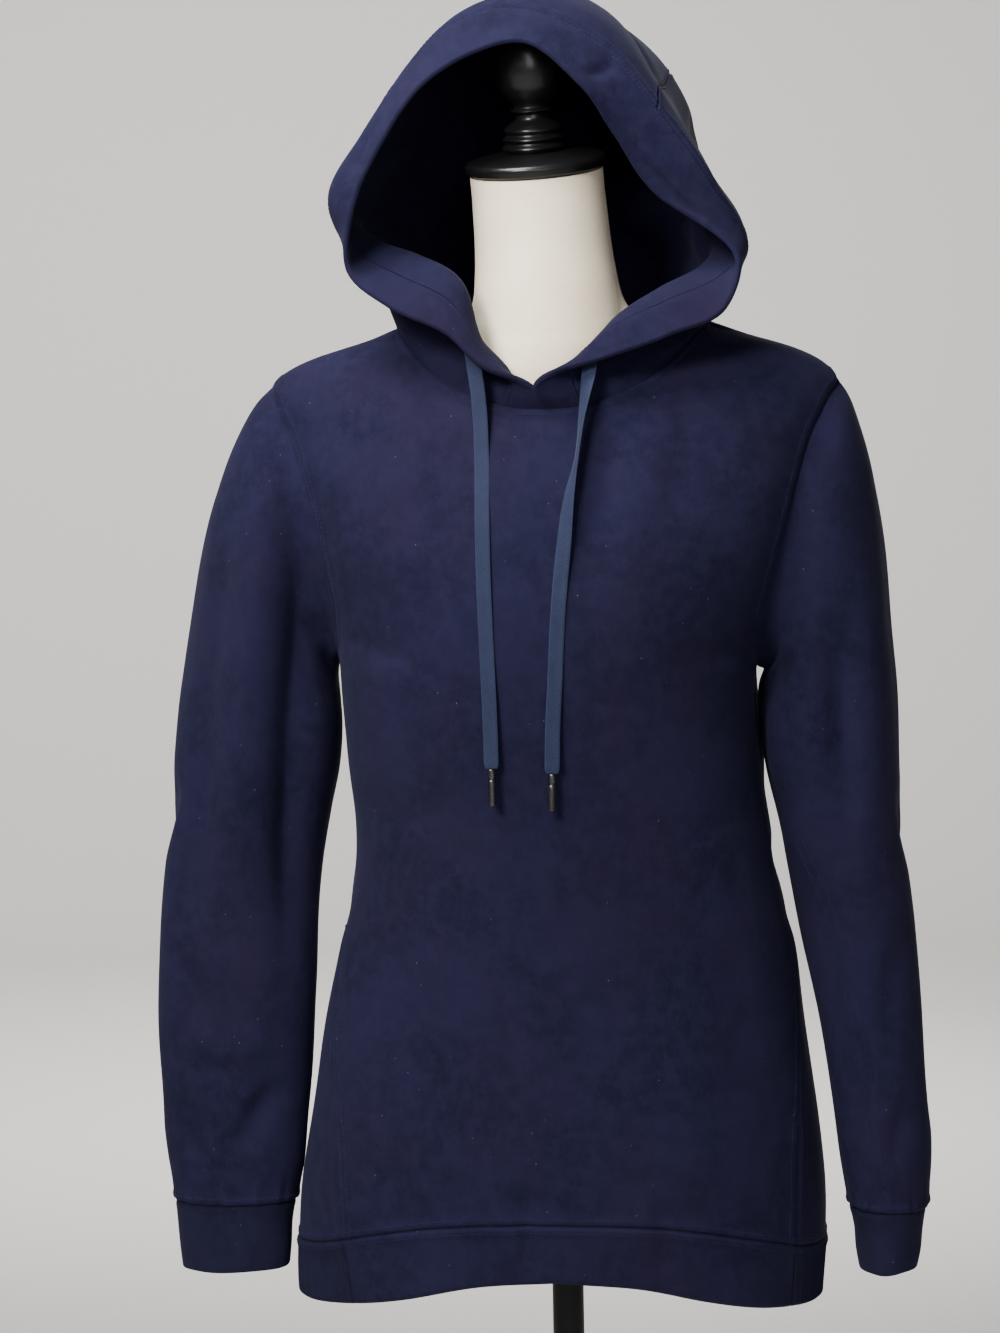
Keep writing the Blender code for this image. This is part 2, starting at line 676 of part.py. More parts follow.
def body_panel(name, behind):
    """The front or the back panel, from the hem seam to the shoulders and neck.

    Below the armpits the panel is laid out by angle and height. Above them it is
    laid out by distance from the centre line and height, as its edges run inwards.
    """
    neck_rows, column = (NECK_BACK, "back") if behind else (NECK_FRONT, "front")
    seams = [side_seam_edge(side) for side in (LEFT, RIGHT)]
    if behind:
        # Angles run on past the centre back instead of jumping to the other sign.
        seams[0] = [(angle + 2 * math.pi, height) for angle, height in seams[0]]
    low, high = ([seam[end][0] for seam in seams] for end in (0, -1))
    bottom_angles = np.linspace(*low, PANEL_COLUMNS + 1)
    bottom = [(angle, hem_heights(angle)[0]) for angle in bottom_angles]
    chest_angles = np.linspace(*high, PANEL_COLUMNS + 1)
    chest_heights = np.linspace(LEFT.armpit, RIGHT.armpit, PANEL_COLUMNS + 1)
    chest = list(zip(chest_angles, chest_heights))
    lower = fill(bottom, chest, *seams)

    armholes = [as_across(armhole_edge(side, column)) for side in (LEFT, RIGHT)]
    shoulders = [shoulder_edge(side) for side in (LEFT, RIGHT)]
    necks = [neck_edge(side, neck_rows, behind) for side in (LEFT, RIGHT)]
    left_top, right_top = (shoulder + neck[1:] for shoulder, neck in zip(shoulders, necks))
    top = left_top + right_top[-2::-1]
    upper = fill(as_across(chest), as_across(top), *armholes)
    grid = [list(row) for row in lower]
    for row in upper[1:-1]:
        grid.append([(angle_across(x, height, behind), height) for x, height in row])
        grid[-1][0] = (armhole_edge(LEFT, column)[len(grid) - len(lower)])
        grid[-1][-1] = (armhole_edge(RIGHT, column)[len(grid) - len(lower)])
    grid.append(top)
    torso_piece(name, grid, FLEECE, NAVY_FLEECE)


def hem_piece(name, start, end, columns, finish):
    """A stretch of the hem band between two angles at its top and its bottom."""
    rows = []
    for drop in (0.0, 0.5, 1.0):
        first = start[0] + (start[1] - start[0]) * drop
        last = end[0] + (end[1] - end[0]) * drop
        row = []
        for angle in np.linspace(first, last, columns + 1):
            seam, edge = hem_heights(angle)
            row.append((angle, seam + (edge - seam) * drop))
        rows.append(row)
    torso_piece(name, rows, DOUBLE_CLOTH, finish, proud=0.0006)


def make_hem():
    """The hem band: a front and a back length joined by ribbed side inserts."""
    seam_low = {side: side_seam(side, hem_end(side, edge=True)) for side in (LEFT, RIGHT)}
    seam_high = {side: side_seam(side, hem_end(side)) for side in (LEFT, RIGHT)}
    back_seam = math.radians(118)
    left_front = (seam_high[LEFT], seam_low[LEFT])
    right_front = (seam_high[RIGHT], seam_low[RIGHT])
    hem_piece("hem_band_front", left_front, right_front, 16, NAVY_FLEECE)
    hem_piece("hem_rib_right", right_front, (back_seam, back_seam), 6, NAVY_RIB)
    hem_piece("hem_rib_left", (-back_seam, -back_seam), left_front, 6, NAVY_RIB)
    turned = 2 * math.pi - back_seam
    hem_piece("hem_band_back", (back_seam, back_seam), (turned, turned), 14, NAVY_FLEECE)


# ---------------------------------------------------------------- sleeves and cuffs

def sleeve_ring(row, sign):
    """Points round a sleeve section: underarm, front, outer side, back."""
    outer = Vector((sign * row.outer, row.middle, row.outer_height))
    inner = Vector((sign * row.inner, row.middle, row.inner_height))
    middle, reach = (outer + inner) / 2, (outer - inner) / 2
    points = []
    for k in range(SLEEVE_SIDES):
        turn = 2 * math.pi * k / SLEEVE_SIDES
        out, forward = -math.cos(turn), math.sin(turn)
        depth = row.front if forward > 0 else row.back
        shift = math.copysign(abs(forward) ** 0.92, forward) * depth
        points.append(middle + reach * math.copysign(abs(out) ** 0.92, out) - Vector((0, shift, 0)))
    return points


def ring_normals(rings, ring):
    """Outward directions at a closed ring of a tube, from its neighbours."""
    below = rings[max(ring - 1, 0)]
    above = rings[min(ring + 1, len(rings) - 1)]
    points = rings[ring]
    middle = sum(points, Vector()) / len(points)
    normals = []
    for k, point in enumerate(points):
        around = points[(k + 1) % len(points)] - points[k - 1]
        normal = around.cross(above[k] - below[k]).normalized()
        if normal.dot(point - middle) < 0:
            normal = -normal
        normals.append(normal)
    return normals


def tube(name, rings, thickness, finish, first_normals=None):
    """A tube of cloth through closed rings of points."""
    inner = []
    for ring, points in enumerate(rings):
        normals = ring_normals(rings, ring)
        if ring == 0 and first_normals:
            normals = first_normals
        inner.append([p - n * thickness for p, n in zip(points, normals)])
    return cloth_wall(name, rings, inner, finish, closed=True)


def armhole_ring(side):
    """The armhole's seam line as a ring, with the wall's direction at each point.

    At the armpit the sleeve turns down beside the body, so its wall stands on the
    seam there; further up it carries on from the body's own wall.
    """
    up_front = armhole_edge(side, "front")
    down_back = armhole_edge(side, "back")[::-1]
    rows = up_front[:-1] + down_back[:-1]
    points = [torso_point(*row) for row in rows]
    middle = sum(points, Vector()) / len(points)
    normals = []
    for k, row in enumerate(rows):
        normal = torso_normal(*row)
        tangent = (points[(k + 1) % len(points)] - points[k - 1]).normalized()
        inward = tangent.cross(normal).normalized()
        if inward.dot(middle - points[k]) < 0:
            inward = -inward
        from_armpit = min(k, len(rows) - k) / ARMHOLE_ROWS
        standing = max(0.0, 1 - from_armpit / 0.45)
        normals.append((normal * (1 - standing) - inward * standing).normalized())
    return points, normals


def make_sleeve(side):
    """A sleeve from its armhole to the cuff seam, and its folded cuff."""
    seam, normals = armhole_ring(side)
    rings = [sleeve_ring(row, side.sign) for row in SLEEVES[side.name]]
    start = [p + (q - p).normalized() * 2 * SEAM_RETREAT for p, q in zip(seam, rings[0])]
    tube(f"sleeve_{side.name}", [start] + rings, FLEECE, NAVY_FLEECE, normals)
    cuff = [sleeve_ring(row, side.sign) for row in CUFFS[side.name]]
    tube(f"cuff_{side.name}", cuff, DOUBLE_CLOTH, NAVY_RIB)


# ---------------------------------------------------------------- hood

def build_neck_seam(side):
    """The neck seam on one side, centre front to centre back, as the panels have it.

    Each corner has its place, the direction out of the body's cloth, and the
    direction across the seam into the neck opening.
    """
    front = neck_edge(side, NECK_FRONT, False)[::-1]
    rows = front + neck_edge(side, NECK_BACK, True)[1:]
    places = [torso_point(*row) for row in rows]
    outs = [torso_normal(*row) for row in rows]
    ways = []
    for k, (place, out) in enumerate(zip(places, outs)):
        tangent = places[min(k + 1, len(places) - 1)] - places[max(k - 1, 0)]
        if k in (0, len(places) - 1):
            tangent = Vector((tangent.x, 0, 0))
        way = tangent.cross(out).normalized()
        if way.dot(NECK_FOOT - place) < 0:
            way = -way
        ways.append(way)
    run = lengths(places)
    return run / run[-1], places, outs, ways


NECK_SEAMS = {}


def neck_seam(share, sign):
    """Place, outward direction and way into the opening on the neck seam."""
    if not NECK_SEAMS:
        NECK_SEAMS.update({side.sign: build_neck_seam(side) for side in (LEFT, RIGHT)})
    knots, *columns = NECK_SEAMS[sign]
    k = min(int(np.searchsorted(knots, share, side="right")), len(knots) - 1)
    blend = (share - knots[k - 1]) / (knots[k] - knots[k - 1])
    return [column[k - 1].lerp(column[k], blend) for column in columns]


def neck_seam_point(share, sign):
    """Point of the neck seam, share of the way from centre front to centre back."""
    return neck_seam(share, sign)[0]


def hoop_curve(points, foot):
    """A hoop from the left foot over its points to the right foot."""
    ends = [neck_seam_point(foot, sign) for sign in (-1, 1)]
    return [ends[0]] + [Vector(p) for p in points] + [ends[1]]


def build_hoops():
    """Knots and points of every hoop; the first three share one set of knots."""
    tables = (HOOD_EDGE, HOOD_STITCH, HOOD_ROLL, HOOD_CHEEK, HOOD_REAR, HOOD_NAPE)
    hoops = [hoop_curve(table, foot) for table, foot in zip(tables, HOOP_FEET)]
    shares = np.linspace(NECK_SEAM_BACK_FOOT, 1.0, 5)
    back = [neck_seam_point(share, -1) for share in shares]
    back += [neck_seam_point(share, 1) for share in shares[-2::-1]]
    hoops.append(back)
    runs = [lengths(hoop) for hoop in hoops]
    stitch, nape, seam = (runs[k] / runs[k][-1] for k in (1, 5, 6))
    return list(zip((stitch, stitch, stitch, CHEEK_SHARES, REAR_SHARES, nape, seam), hoops))


HOOPS = build_hoops()
SEAT_REACH = 0.10        # share of a hoop over which its ends are led to the seam


def hood_point(across, behind):
    """Point of the hood: across from 0 to 1 along a hoop, behind from 0 to 1."""
    stations = [spline(knots, [tuple(p) for p in hoop], across) for knots, hoop in HOOPS]
    return Vector(spline(HOOP_POSITIONS, stations, behind, steady=True))


def foot_share(behind):
    """Where the hood's edge stands on the neck seam."""
    return float(spline(HOOP_POSITIONS, [*HOOP_FEET, NECK_SEAM_BACK_FOOT], behind))


def seated_hood_point(across, behind):
    """Point of the hood with its two ends set exactly on the neck seam."""
    point = hood_point(across, behind)
    for end, sign in ((0.0, -1), (1.0, 1)):
        near = max(0.0, 1 - abs(across - end) / SEAT_REACH)
        if near > 0:
            miss = neck_seam_point(foot_share(behind), sign) - hood_point(end, behind)
            point += miss * near * near * (3 - 2 * near)
    return point


def hood_normal(across, behind):
    """Direction out of the hood's cloth."""
    step, deep = 0.006, 0.010
    a, b = max(across - step, 0.0), min(across + step, 1.0)
    c, d = max(behind - deep, 0.0), min(behind + deep, 1.0)
    over = seated_hood_point(b, behind) - seated_hood_point(a, behind)
    back = seated_hood_point(across, d) - seated_hood_point(across, c)
    return over.cross(back).normalized()


def nearest_seam_place(across, behind):
    """Neck seam share and side that a place on the hood's lower edge stands on."""
    if behind >= 1.0:
        share = NECK_SEAM_BACK_FOOT + (1 - NECK_SEAM_BACK_FOOT) * (1 - abs(2 * across - 1))
        return share, (-1 if across < 0.5 else 1)
    return foot_share(behind), (-1 if across < 0.5 else 1)


def hood_wall_points(across, behind, thickness):
    """Outer and inner point of the hood's wall.

    On the neck seam the wall stands inside the seam line, so that it clears the
    body panels; everywhere else it lies half to each side of the hood's surface.
    """
    point = seated_hood_point(across, behind)
    normal = hood_normal(across, behind)
    edge = min(across, 1 - across)
    if edge < 1e-6 or behind >= 1.0:
        point, out, way = neck_seam(*nearest_seam_place(across, behind))
        start = point + way * 2 * SEAM_RETREAT
        share = nearest_seam_place(across, behind)[0]
        standing = min(1.0, max(0.0, (share - 0.15) / 0.35))
        lean = (out * (1 - standing) - way * standing).normalized()
        return start, start - lean * thickness
    return point + normal * (thickness / 2), point - normal * (thickness / 2)


def hood_piece(name, columns, rows, thicknesses, finish):
    """A hood piece on a grid, with a small gap to the pieces beside it."""
    outer, inner = [], []
    for behind, thickness in zip(rows, thicknesses):
        pairs = [hood_wall_points(across, behind, thickness) for across in columns]
        outer.append([pair[0] for pair in pairs])
        inner.append([pair[1] for pair in pairs])
    for grid in (outer, inner):
        grid[:] = drawn_back(grid)
    return cloth_wall(name, outer, inner, finish)


def make_hood():
    """The cord casing round the opening, the centre panel and two side panels.

    The casing is a doubled band that its stitching presses down to the hood's own
    thickness where it is sewn to the panels.
    """
    casing_rows = CASING_SHARE * np.array([0.0, 0.45, 0.85, 1.0])
    panel_rows = [CASING_SHARE, *np.linspace(HOOP_POSITIONS[2], 1.0, HOOD_ROWS)]
    low, high = 0.5 - CENTRE_PANEL, 0.5 + CENTRE_PANEL
    left = low * np.linspace(0.0, 1.0, HOOD_SIDE_COLUMNS + 1) ** 1.35
    centre = np.linspace(low, high, HOOD_CENTRE_COLUMNS + 1)
    right = 1.0 - left[::-1]
    whole = [*left, *centre[1:-1], *right]
    pressed = [DOUBLE_CLOTH, DOUBLE_CLOTH, DOUBLE_CLOTH, FLEECE]
    hood_piece("hood_casing", whole, casing_rows, pressed, NAVY_FLEECE)
    for part, columns in (("side_left", left), ("centre", centre), ("side_right", right)):
        hood_piece(f"hood_{part}", columns, panel_rows, [FLEECE] * len(panel_rows), NAVY_FLEECE)


# ---------------------------------------------------------------- drawcords

def cord_path(name):
    """Centre points of a drawcord, with the directions across its width."""
    places = []
    for row in CORDS[name]:
        angle = angle_across(row.across, row.height)
        normal = torso_normal(angle, row.height)
        place = torso_point(angle, row.height) + normal * CORD_CLEARANCE
        if row.front is not None:
            place = Vector((row.across, -row.front, row.height))
        places.append((*place, *normal, row.turn))
    knots = [-row.height for row in CORDS[name]]
    points, widths = [], []
    for at in np.linspace(knots[0], knots[-1], CORD_STEPS + 1):
        x, y, z, *normal, turn = spline(knots, places, at)
        normal = Vector(normal).normalized()
        level = Vector((0, 0, 1)).cross(normal).normalized()
        turn = math.radians(turn)
        points.append(Vector((x, y, z)))
        widths.append(level * math.cos(turn) + normal * math.sin(turn))
    return points, widths


def make_cord(name):
    """A flat woven tape with a metal tip."""
    points, widths = cord_path(name)
    mesh_data = bmesh.new()
    rings = []
    for k, (point, width) in enumerate(zip(points, widths)):
        ahead = (points[min(k + 1, CORD_STEPS)] - points[max(k - 1, 0)]).normalized()
        depth = ahead.cross(width).normalized() * (CORD_THICKNESS / 2)
        side = depth.cross(ahead).normalized() * (CORD_WIDTH / 2)
        corners = (side + depth, side - depth, -side - depth, -side + depth)
        rings.append([mesh_data.verts.new(point + corner) for corner in corners])
    for lower, upper in zip(rings, rings[1:]):
        faces_between(mesh_data, lower, upper, True)
    mesh_data.faces.new(rings[0])
    mesh_data.faces.new(rings[-1])
    add_object(f"drawcord_{name}", mesh_data, CORD_BLUE)

    tip = points[-1]
    ahead = (points[-1] - points[-3]).normalized()
    start = tip + ahead * 0.0004
    profile = [
        ProfileRow(AGLET_RADIUS * 0.85, 0.0),
        ProfileRow(AGLET_RADIUS, 0.0012),
        ProfileRow(AGLET_RADIUS, AGLET_LENGTH - 0.0012),
        ProfileRow(AGLET_RADIUS * 0.8, AGLET_LENGTH),
    ]
    turned_piece(f"aglet_{name}", profile, start, ahead, GUNMETAL, sides=12)


# ---------------------------------------------------------------- form and stand

def axis_frame(axis):
    """Two directions square to an axis."""
    side = Vector((1, 0, 0)) - axis * axis.x
    side.normalize()
    return side, axis.cross(side)


def capped_rings(name, rings, finish):
    """A closed body through rings of points, with a flat face at each end."""
    mesh_data = bmesh.new()
    loops = [[mesh_data.verts.new(p) for p in ring] for ring in rings]
    for lower, upper in zip(loops, loops[1:]):
        faces_between(mesh_data, lower, upper, True)
    mesh_data.faces.new(loops[0])
    mesh_data.faces.new(loops[-1])
    return add_object(name, mesh_data, finish)


def turned_piece(name, profile, start, axis, finish, sides=TURNED_SIDES):
    """A piece turned about an axis from rows of radius and height."""
    side, other = axis_frame(axis)
    rings = []
    for row in profile:
        ring = []
        for k in range(sides):
            turn = 2 * math.pi * k / sides
            spoke = side * math.cos(turn) + other * math.sin(turn)
            ring.append(start + axis * row.height + spoke * row.radius)
        rings.append(ring)
    return capped_rings(name, rings, finish)


def form_ring(height):
    """A level section of the dress form, wide at the shoulders, round at the neck."""
    width, front, back, neck = along(FORM, height)
    climb = max(0.0, (height - NECK_LEAN_START) / (NECK_TOP.z - NECK_LEAN_START))
    centre = NECK_FOOT.lerp(NECK_TOP, climb)
    ring = []
    for k in range(FORM_SIDES):
        angle = 2 * math.pi * k / FORM_SIDES
        across, forward = math.sin(angle), math.cos(angle)
        depth = front if forward > 0 else back
        body = ((abs(across) / width) ** SECTION_POWER
                + (abs(forward) / depth) ** SECTION_POWER) ** (-1 / SECTION_POWER)
        blend = 9.0
        reach = (body ** blend + neck ** blend) ** (1 / blend)
        ring.append(Vector((centre.x + reach * across, centre.y * min(1.0, neck / 0.05)
                            - reach * forward, height)))
    return ring


def tilted(point):
    """Lean the top of the neck to the plane of its cap."""
    share = max(0.0, (point.z - 1.44) / (NECK_TOP.z - 1.44))
    lean = -((point.x - NECK_TOP.x) * CAP_AXIS.x + (point.y - NECK_TOP.y) * CAP_AXIS.y) / CAP_AXIS.z
    return point + Vector((0, 0, lean * share))


def make_form():
    """The covered form, its turned neck cap and finial, the pole and the base."""
    heights = [row.height for row in FORM] + [NECK_TOP.z]
    rings = [[tilted(p) for p in form_ring(height)] for height in heights]
    capped_rings("dress_form", rings, LINEN)
    cap_start = NECK_TOP + CAP_AXIS * 0.0006
    turned_piece("neck_cap", CAP_PROFILE, cap_start, CAP_AXIS, BLACK_GLOSS)
    turned_piece("finial", FINIAL_PROFILE, cap_start, CAP_AXIS, BLACK_GLOSS)
    up = Vector((0, 0, 1))
    base = [
        ProfileRow(BASE_RADIUS - 0.002, 0.0),
        ProfileRow(BASE_RADIUS, 0.002),
        ProfileRow(BASE_RADIUS, BASE_EDGE - 0.003),
        ProfileRow(BASE_RADIUS - 0.003, BASE_EDGE),
        ProfileRow(BASE_RADIUS * 0.45, BASE_EDGE + 0.0045),
        ProfileRow(POLE_RADIUS * 1.9, BASE_CROWN - 0.002),
        ProfileRow(POLE_RADIUS * 1.7, BASE_CROWN),
    ]
    turned_piece("base", base, Vector(), up, BLACK_SATIN, sides=40)
    pole = [
        ProfileRow(POLE_RADIUS, BASE_CROWN + 0.0003),
        ProfileRow(POLE_RADIUS, FORM[0].height - 0.0003),
    ]
    turned_piece("pole", pole, Vector(), up, BLACK_SATIN)


# ---------------------------------------------------------------- assembly

def main():
    """Clear the scene and build the garment and its stand."""
    for item in list(bpy.data.objects):
        bpy.data.objects.remove(item, do_unlink=True)
    body_panel("body_front", behind=False)
    body_panel("body_back", behind=True)
    make_hem()
    for side in (LEFT, RIGHT):
        make_sleeve(side)
    make_hood()
    for name in CORDS:
        make_cord(name)
    make_form()


main()
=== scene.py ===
"""Looks of a pullover hoodie that is worn on a limbless dress form.

Metres, +Z up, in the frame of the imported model: the origin is the centre of the base's
underside, the front faces -Y, and left and right are the viewer's. Every cloth piece is
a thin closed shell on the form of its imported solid, at a finer grid, with its folds,
seams, ribs and stitches as real shape.
"""

from __future__ import annotations

import json
import logging
import math
from dataclasses import dataclass, field
from enum import Enum
from typing import Callable, Iterable, NamedTuple, Sequence

import bpy
import numpy as np
from mathutils import Matrix, Vector

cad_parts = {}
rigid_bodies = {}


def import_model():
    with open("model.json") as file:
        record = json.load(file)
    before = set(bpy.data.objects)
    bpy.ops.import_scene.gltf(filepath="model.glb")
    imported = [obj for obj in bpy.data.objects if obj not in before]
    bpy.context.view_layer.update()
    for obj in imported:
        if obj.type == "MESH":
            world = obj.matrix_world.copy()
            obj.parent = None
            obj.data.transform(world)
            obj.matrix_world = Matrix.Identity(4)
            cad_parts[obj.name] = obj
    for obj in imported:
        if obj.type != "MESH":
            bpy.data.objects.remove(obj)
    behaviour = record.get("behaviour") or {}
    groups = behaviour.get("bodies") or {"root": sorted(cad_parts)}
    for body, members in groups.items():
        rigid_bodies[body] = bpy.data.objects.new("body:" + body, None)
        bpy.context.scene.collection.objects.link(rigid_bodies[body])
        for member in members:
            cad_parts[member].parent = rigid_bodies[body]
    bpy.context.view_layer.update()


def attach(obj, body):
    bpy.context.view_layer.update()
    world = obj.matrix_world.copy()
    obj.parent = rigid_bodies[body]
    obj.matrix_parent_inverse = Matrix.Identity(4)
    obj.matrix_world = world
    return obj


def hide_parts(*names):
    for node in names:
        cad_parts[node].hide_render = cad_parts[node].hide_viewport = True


log = logging.getLogger("hoodie")
Array = np.ndarray

FLEECE = 0.0022
DOUBLE_CLOTH = 0.0046
SEAM_LAP = 0.0003        # each edge runs this far under its neighbour


# ---------------------------------------------------------------- curves and grids

class Curve:
    """A smooth curve through rows of values, read at many places at once."""

    def __init__(self, knots: Sequence[float], values: Array, steady: bool = False) -> None:
        """Set up the curve.

        Args:
            knots: rising parameter of each row.
            values: one row of values for each knot.
            steady: keep the curve from running past its own rows.
        """
        self.knots = np.asarray(knots, dtype=float)
        self.values = np.asarray(values, dtype=float)
        self.slopes = self._steady() if steady else np.gradient(self.values, self.knots, axis=0)

    def _steady(self) -> Array:
        """Slopes from the harmonic mean of the rises on both sides of each row."""
        gaps = np.diff(self.knots).reshape((-1,) + (1,) * (self.values.ndim - 1))
        rises = np.diff(self.values, axis=0) / gaps
        before, after = rises[:-1], rises[1:]
        agree = before * after > 0
        total = np.where(agree, before + after, 1.0)
        inner = np.where(agree, 2 * before * after / total, 0.0)
        return np.concatenate((rises[:1], inner, rises[-1:]))

    def __call__(self, at: Array | float) -> Array:
        """Read the curve.

        Args:
            at: places, as one number or an array of them.

        Returns:
            The values there, with the shape of at followed by that of one row.
        """
        at = np.clip(np.asarray(at, dtype=float), self.knots[0], self.knots[-1])
        k = np.clip(np.searchsorted(self.knots, at, side="right") - 1, 0, len(self.knots) - 2)
        span = self.knots[k + 1] - self.knots[k]
        t = (at - self.knots[k]) / span
        extra = (1,) * (self.values.ndim - 1)
        t, span = t.reshape(t.shape + extra), span.reshape(span.shape + extra)
        start = (1 + 2 * t) * (1 - t) ** 2 * self.values[k] + t * (1 - t) ** 2 * span * self.slopes[k]
        end = t * t * (3 - 2 * t) * self.values[k + 1] - t * t * (1 - t) * span * self.slopes[k + 1]
        return start + end


def along(table: Sequence[NamedTuple], at: Array | float) -> list[Array]:
    """The other columns of a table, read smoothly at values of its first column."""
    rows = np.asarray(table, dtype=float)
    return list(np.moveaxis(Curve(rows[:, 0], rows[:, 1:])(at), -1, 0))


def unit(vectors: Array) -> Array:
    """Vectors made one long, along the last axis."""
    return vectors / np.maximum(np.linalg.norm(vectors, axis=-1, keepdims=True), 1e-12)


def smooth(value: Array | float, low: float = 0.0, high: float = 1.0) -> Array:
    """A soft step from 0 at low to 1 at high."""
    t = np.clip((np.asarray(value, dtype=float) - low) / (high - low), 0.0, 1.0)
    return t * t * (3 - 2 * t)


def run_length(points: Array, axis: int = 0) -> Array:
    """Running length along one axis of an array of points."""
    steps = np.linalg.norm(np.diff(points, axis=axis), axis=-1)
    zero = np.zeros_like(np.take(steps, [0], axis=axis))
    return np.concatenate((zero, np.cumsum(steps, axis=axis)), axis=axis)


def evenly(curve: Callable[[Array], Array], place: Callable[[Array], Array], crowding: float = 1.0,
           ) -> Callable[[Array], Array]:
    """Make a curve whose parameter is its share of length.

    Args:
        curve: rows of surface parameters for places from 0 to 1.
        place: points in space for rows of surface parameters.
        crowding: above 1 sets even steps closer together towards the end.

    Returns:
        A function from shares to rows of surface parameters.
    """
    fine = np.linspace(0.0, 1.0, 161)
    run = run_length(place(curve(fine)))

    def read(share: Array) -> Array:
        """Rows of surface parameters at shares of the length."""
        share = 1 - (1 - np.clip(share, 0, 1)) ** crowding
        return curve(np.interp(share * run[-1], run, fine))

    return read


def graded(count: int, length: float, low: bool = True, high: bool = True,
           breaks: Sequence[float] = ()) -> Array:
    """Grid places from 0 to 1, with fine first steps beside a seam at either end.

    Args:
        count: number of even steps between the fine ones.
        length: length of the whole span in metres.
        low: whether the start lies on a seam.
        high: whether the end lies on a seam.
        breaks: places that must be on the grid.

    Returns:
        The rising places, 0 and 1 among them.
    """
    fine = np.array([0.0006, 0.0013, 0.0021, 0.0030, 0.0040, 0.0052, 0.0065, 0.0080, 0.0100]) / length
    places = np.linspace(fine[-1] if low else 0.0, 1 - (fine[-1] if high else 0.0), count + 1)
    near = [places, [0.0, 1.0]]
    if low:
        near.append(fine[:-1])
    if high:
        near.append(1 - fine[:-1])
    places = np.unique(np.round(np.concatenate(near), 9))
    for stop in breaks:
        places[np.argmin(np.abs(places - stop))] = stop
    return places


def turns(count: int) -> Array:
    """Even angles round a circle, from 0."""
    return np.linspace(0, 2 * math.pi, count, endpoint=False)


def signed_power(value: Array, power: float) -> Array:
    """A value's size raised to a power, with its sign kept."""
    return np.copysign(np.abs(value) ** power, value)


def grid_normals(points: Array, wrap: bool = False) -> Array:
    """Unit normals of a grid of points, across its columns and then its rows.

    Args:
        points: array of rows, columns and coordinates.
        wrap: whether the columns close into a ring.

    Returns:
        Array of the same shape.
    """
    if wrap:
        wide = np.concatenate((points[:, -1:], points, points[:, :1]), axis=1)
        over = (wide[:, 2:] - wide[:, :-2]) / 2
    else:
        over = np.gradient(points, axis=1)
    return unit(np.cross(over, np.gradient(points, axis=0)))


def outward_normals(points: Array, guide: Array, wrap: bool = False) -> Array:
    """Unit normals of a grid, on the side that the guide's directions point to."""
    out = grid_normals(points, wrap)
    return out if (out * guide).sum() > 0 else -out


# ---------------------------------------------------------------- folds

class Face(Enum):
    """Side of the garment that a fold is seen from: its two axes and the way out."""

    FRONT = (0, 2, (0.0, -1.0, 0.0))
    BACK = (0, 2, (0.0, 1.0, 0.0))
    LEFT = (1, 2, (-1.0, 0.0, 0.0))
    RIGHT = (1, 2, (1.0, 0.0, 0.0))

    def places(self, points: Array) -> Array:
        """The two coordinates of points that this face shows."""
        return points[..., [self.value[0], self.value[1]]]

    def share(self, normals: Array) -> Array:
        """How far the surface looks this way, from 0 to 1."""
        return smooth(normals @ np.array(self.value[2]), -0.05, 0.40)


@dataclass(frozen=True)
class Fold:
    """A soft ridge or trough along a line, tapering out at both ends."""

    line: tuple[tuple[float, float], ...]
    height: float
    width: float
    lean: float = 0.0        # above 0, the side to the right of the line's way is steeper
    taper: float = 0.35

    def lift(self, places: Array) -> Array:
        """How far the fold moves the cloth out.

        Args:
            places: array of places whose last axis is two coordinates.

        Returns:
            Heights in metres, in the shape of places without its last axis.
        """
        knots = np.array(self.line)
        shares = run_length(knots)
        curve = Curve(shares, knots)
        line = curve(np.linspace(0, shares[-1], 4 * len(knots)))
        shares = run_length(line) / run_length(line)[-1]
        best = np.full(places.shape[:-1], np.inf)
        gap, place = np.zeros_like(best), np.zeros_like(best)
        for a, b, low, high in zip(line[:-1], line[1:], shares[:-1], shares[1:]):
            way = b - a
            t = np.clip(((places - a) @ way) / (way @ way), 0, 1)
            off = places - a - t[..., None] * way
            distance = np.linalg.norm(off, axis=-1)
            nearer = distance < best
            side = way[0] * off[..., 1] - way[1] * off[..., 0]
            best = np.where(nearer, distance, best)
            gap = np.where(nearer, np.copysign(distance, side), gap)
            place = np.where(nearer, low + t * (high - low), place)
        ends = smooth(np.minimum(place, 1 - place), -0.02, self.taper)
        wide = self.width * np.where(gap > 0, 1 + self.lean, 1 - self.lean)
        return self.height * ends * np.exp(-((gap / wide) ** 2))


def folded(points: Array, normals: Array, folds: Iterable[tuple[Face, Fold]]) -> Array:
    """Heights that a set of folds adds to a surface."""
    lift = np.zeros(points.shape[:-1])
    for face, fold in folds:
        lift += fold.lift(face.places(points)) * face.share(normals)
    return lift


def drift(points: Array, size: float, seed: float = 0.0) -> Array:
    """Gentle uneven swells of cloth, as a sum of slanting waves.

    Args:
        points: places in space.
        size: height of the swells in metres.
        seed: shifts the pattern.

    Returns:
        Heights in metres.
    """
    waves = ((31, 12, 17, 0.3), (-19, 23, 29, 1.7), (47, -31, 11, 2.9), (13, 41, -37, 4.1),
             (61, 22, 43, 5.3), (-53, 67, 19, 0.9), (83, -40, 31, 3.6), (26, 9, -71, 2.2))
    total = np.zeros(points.shape[:-1])
    for k, (x, y, z, phase) in enumerate(waves):
        total += np.sin(points @ np.array((x, y, z)) + phase + seed * (k + 1)) / (1 + 0.35 * k)
    return total * size / 2.4


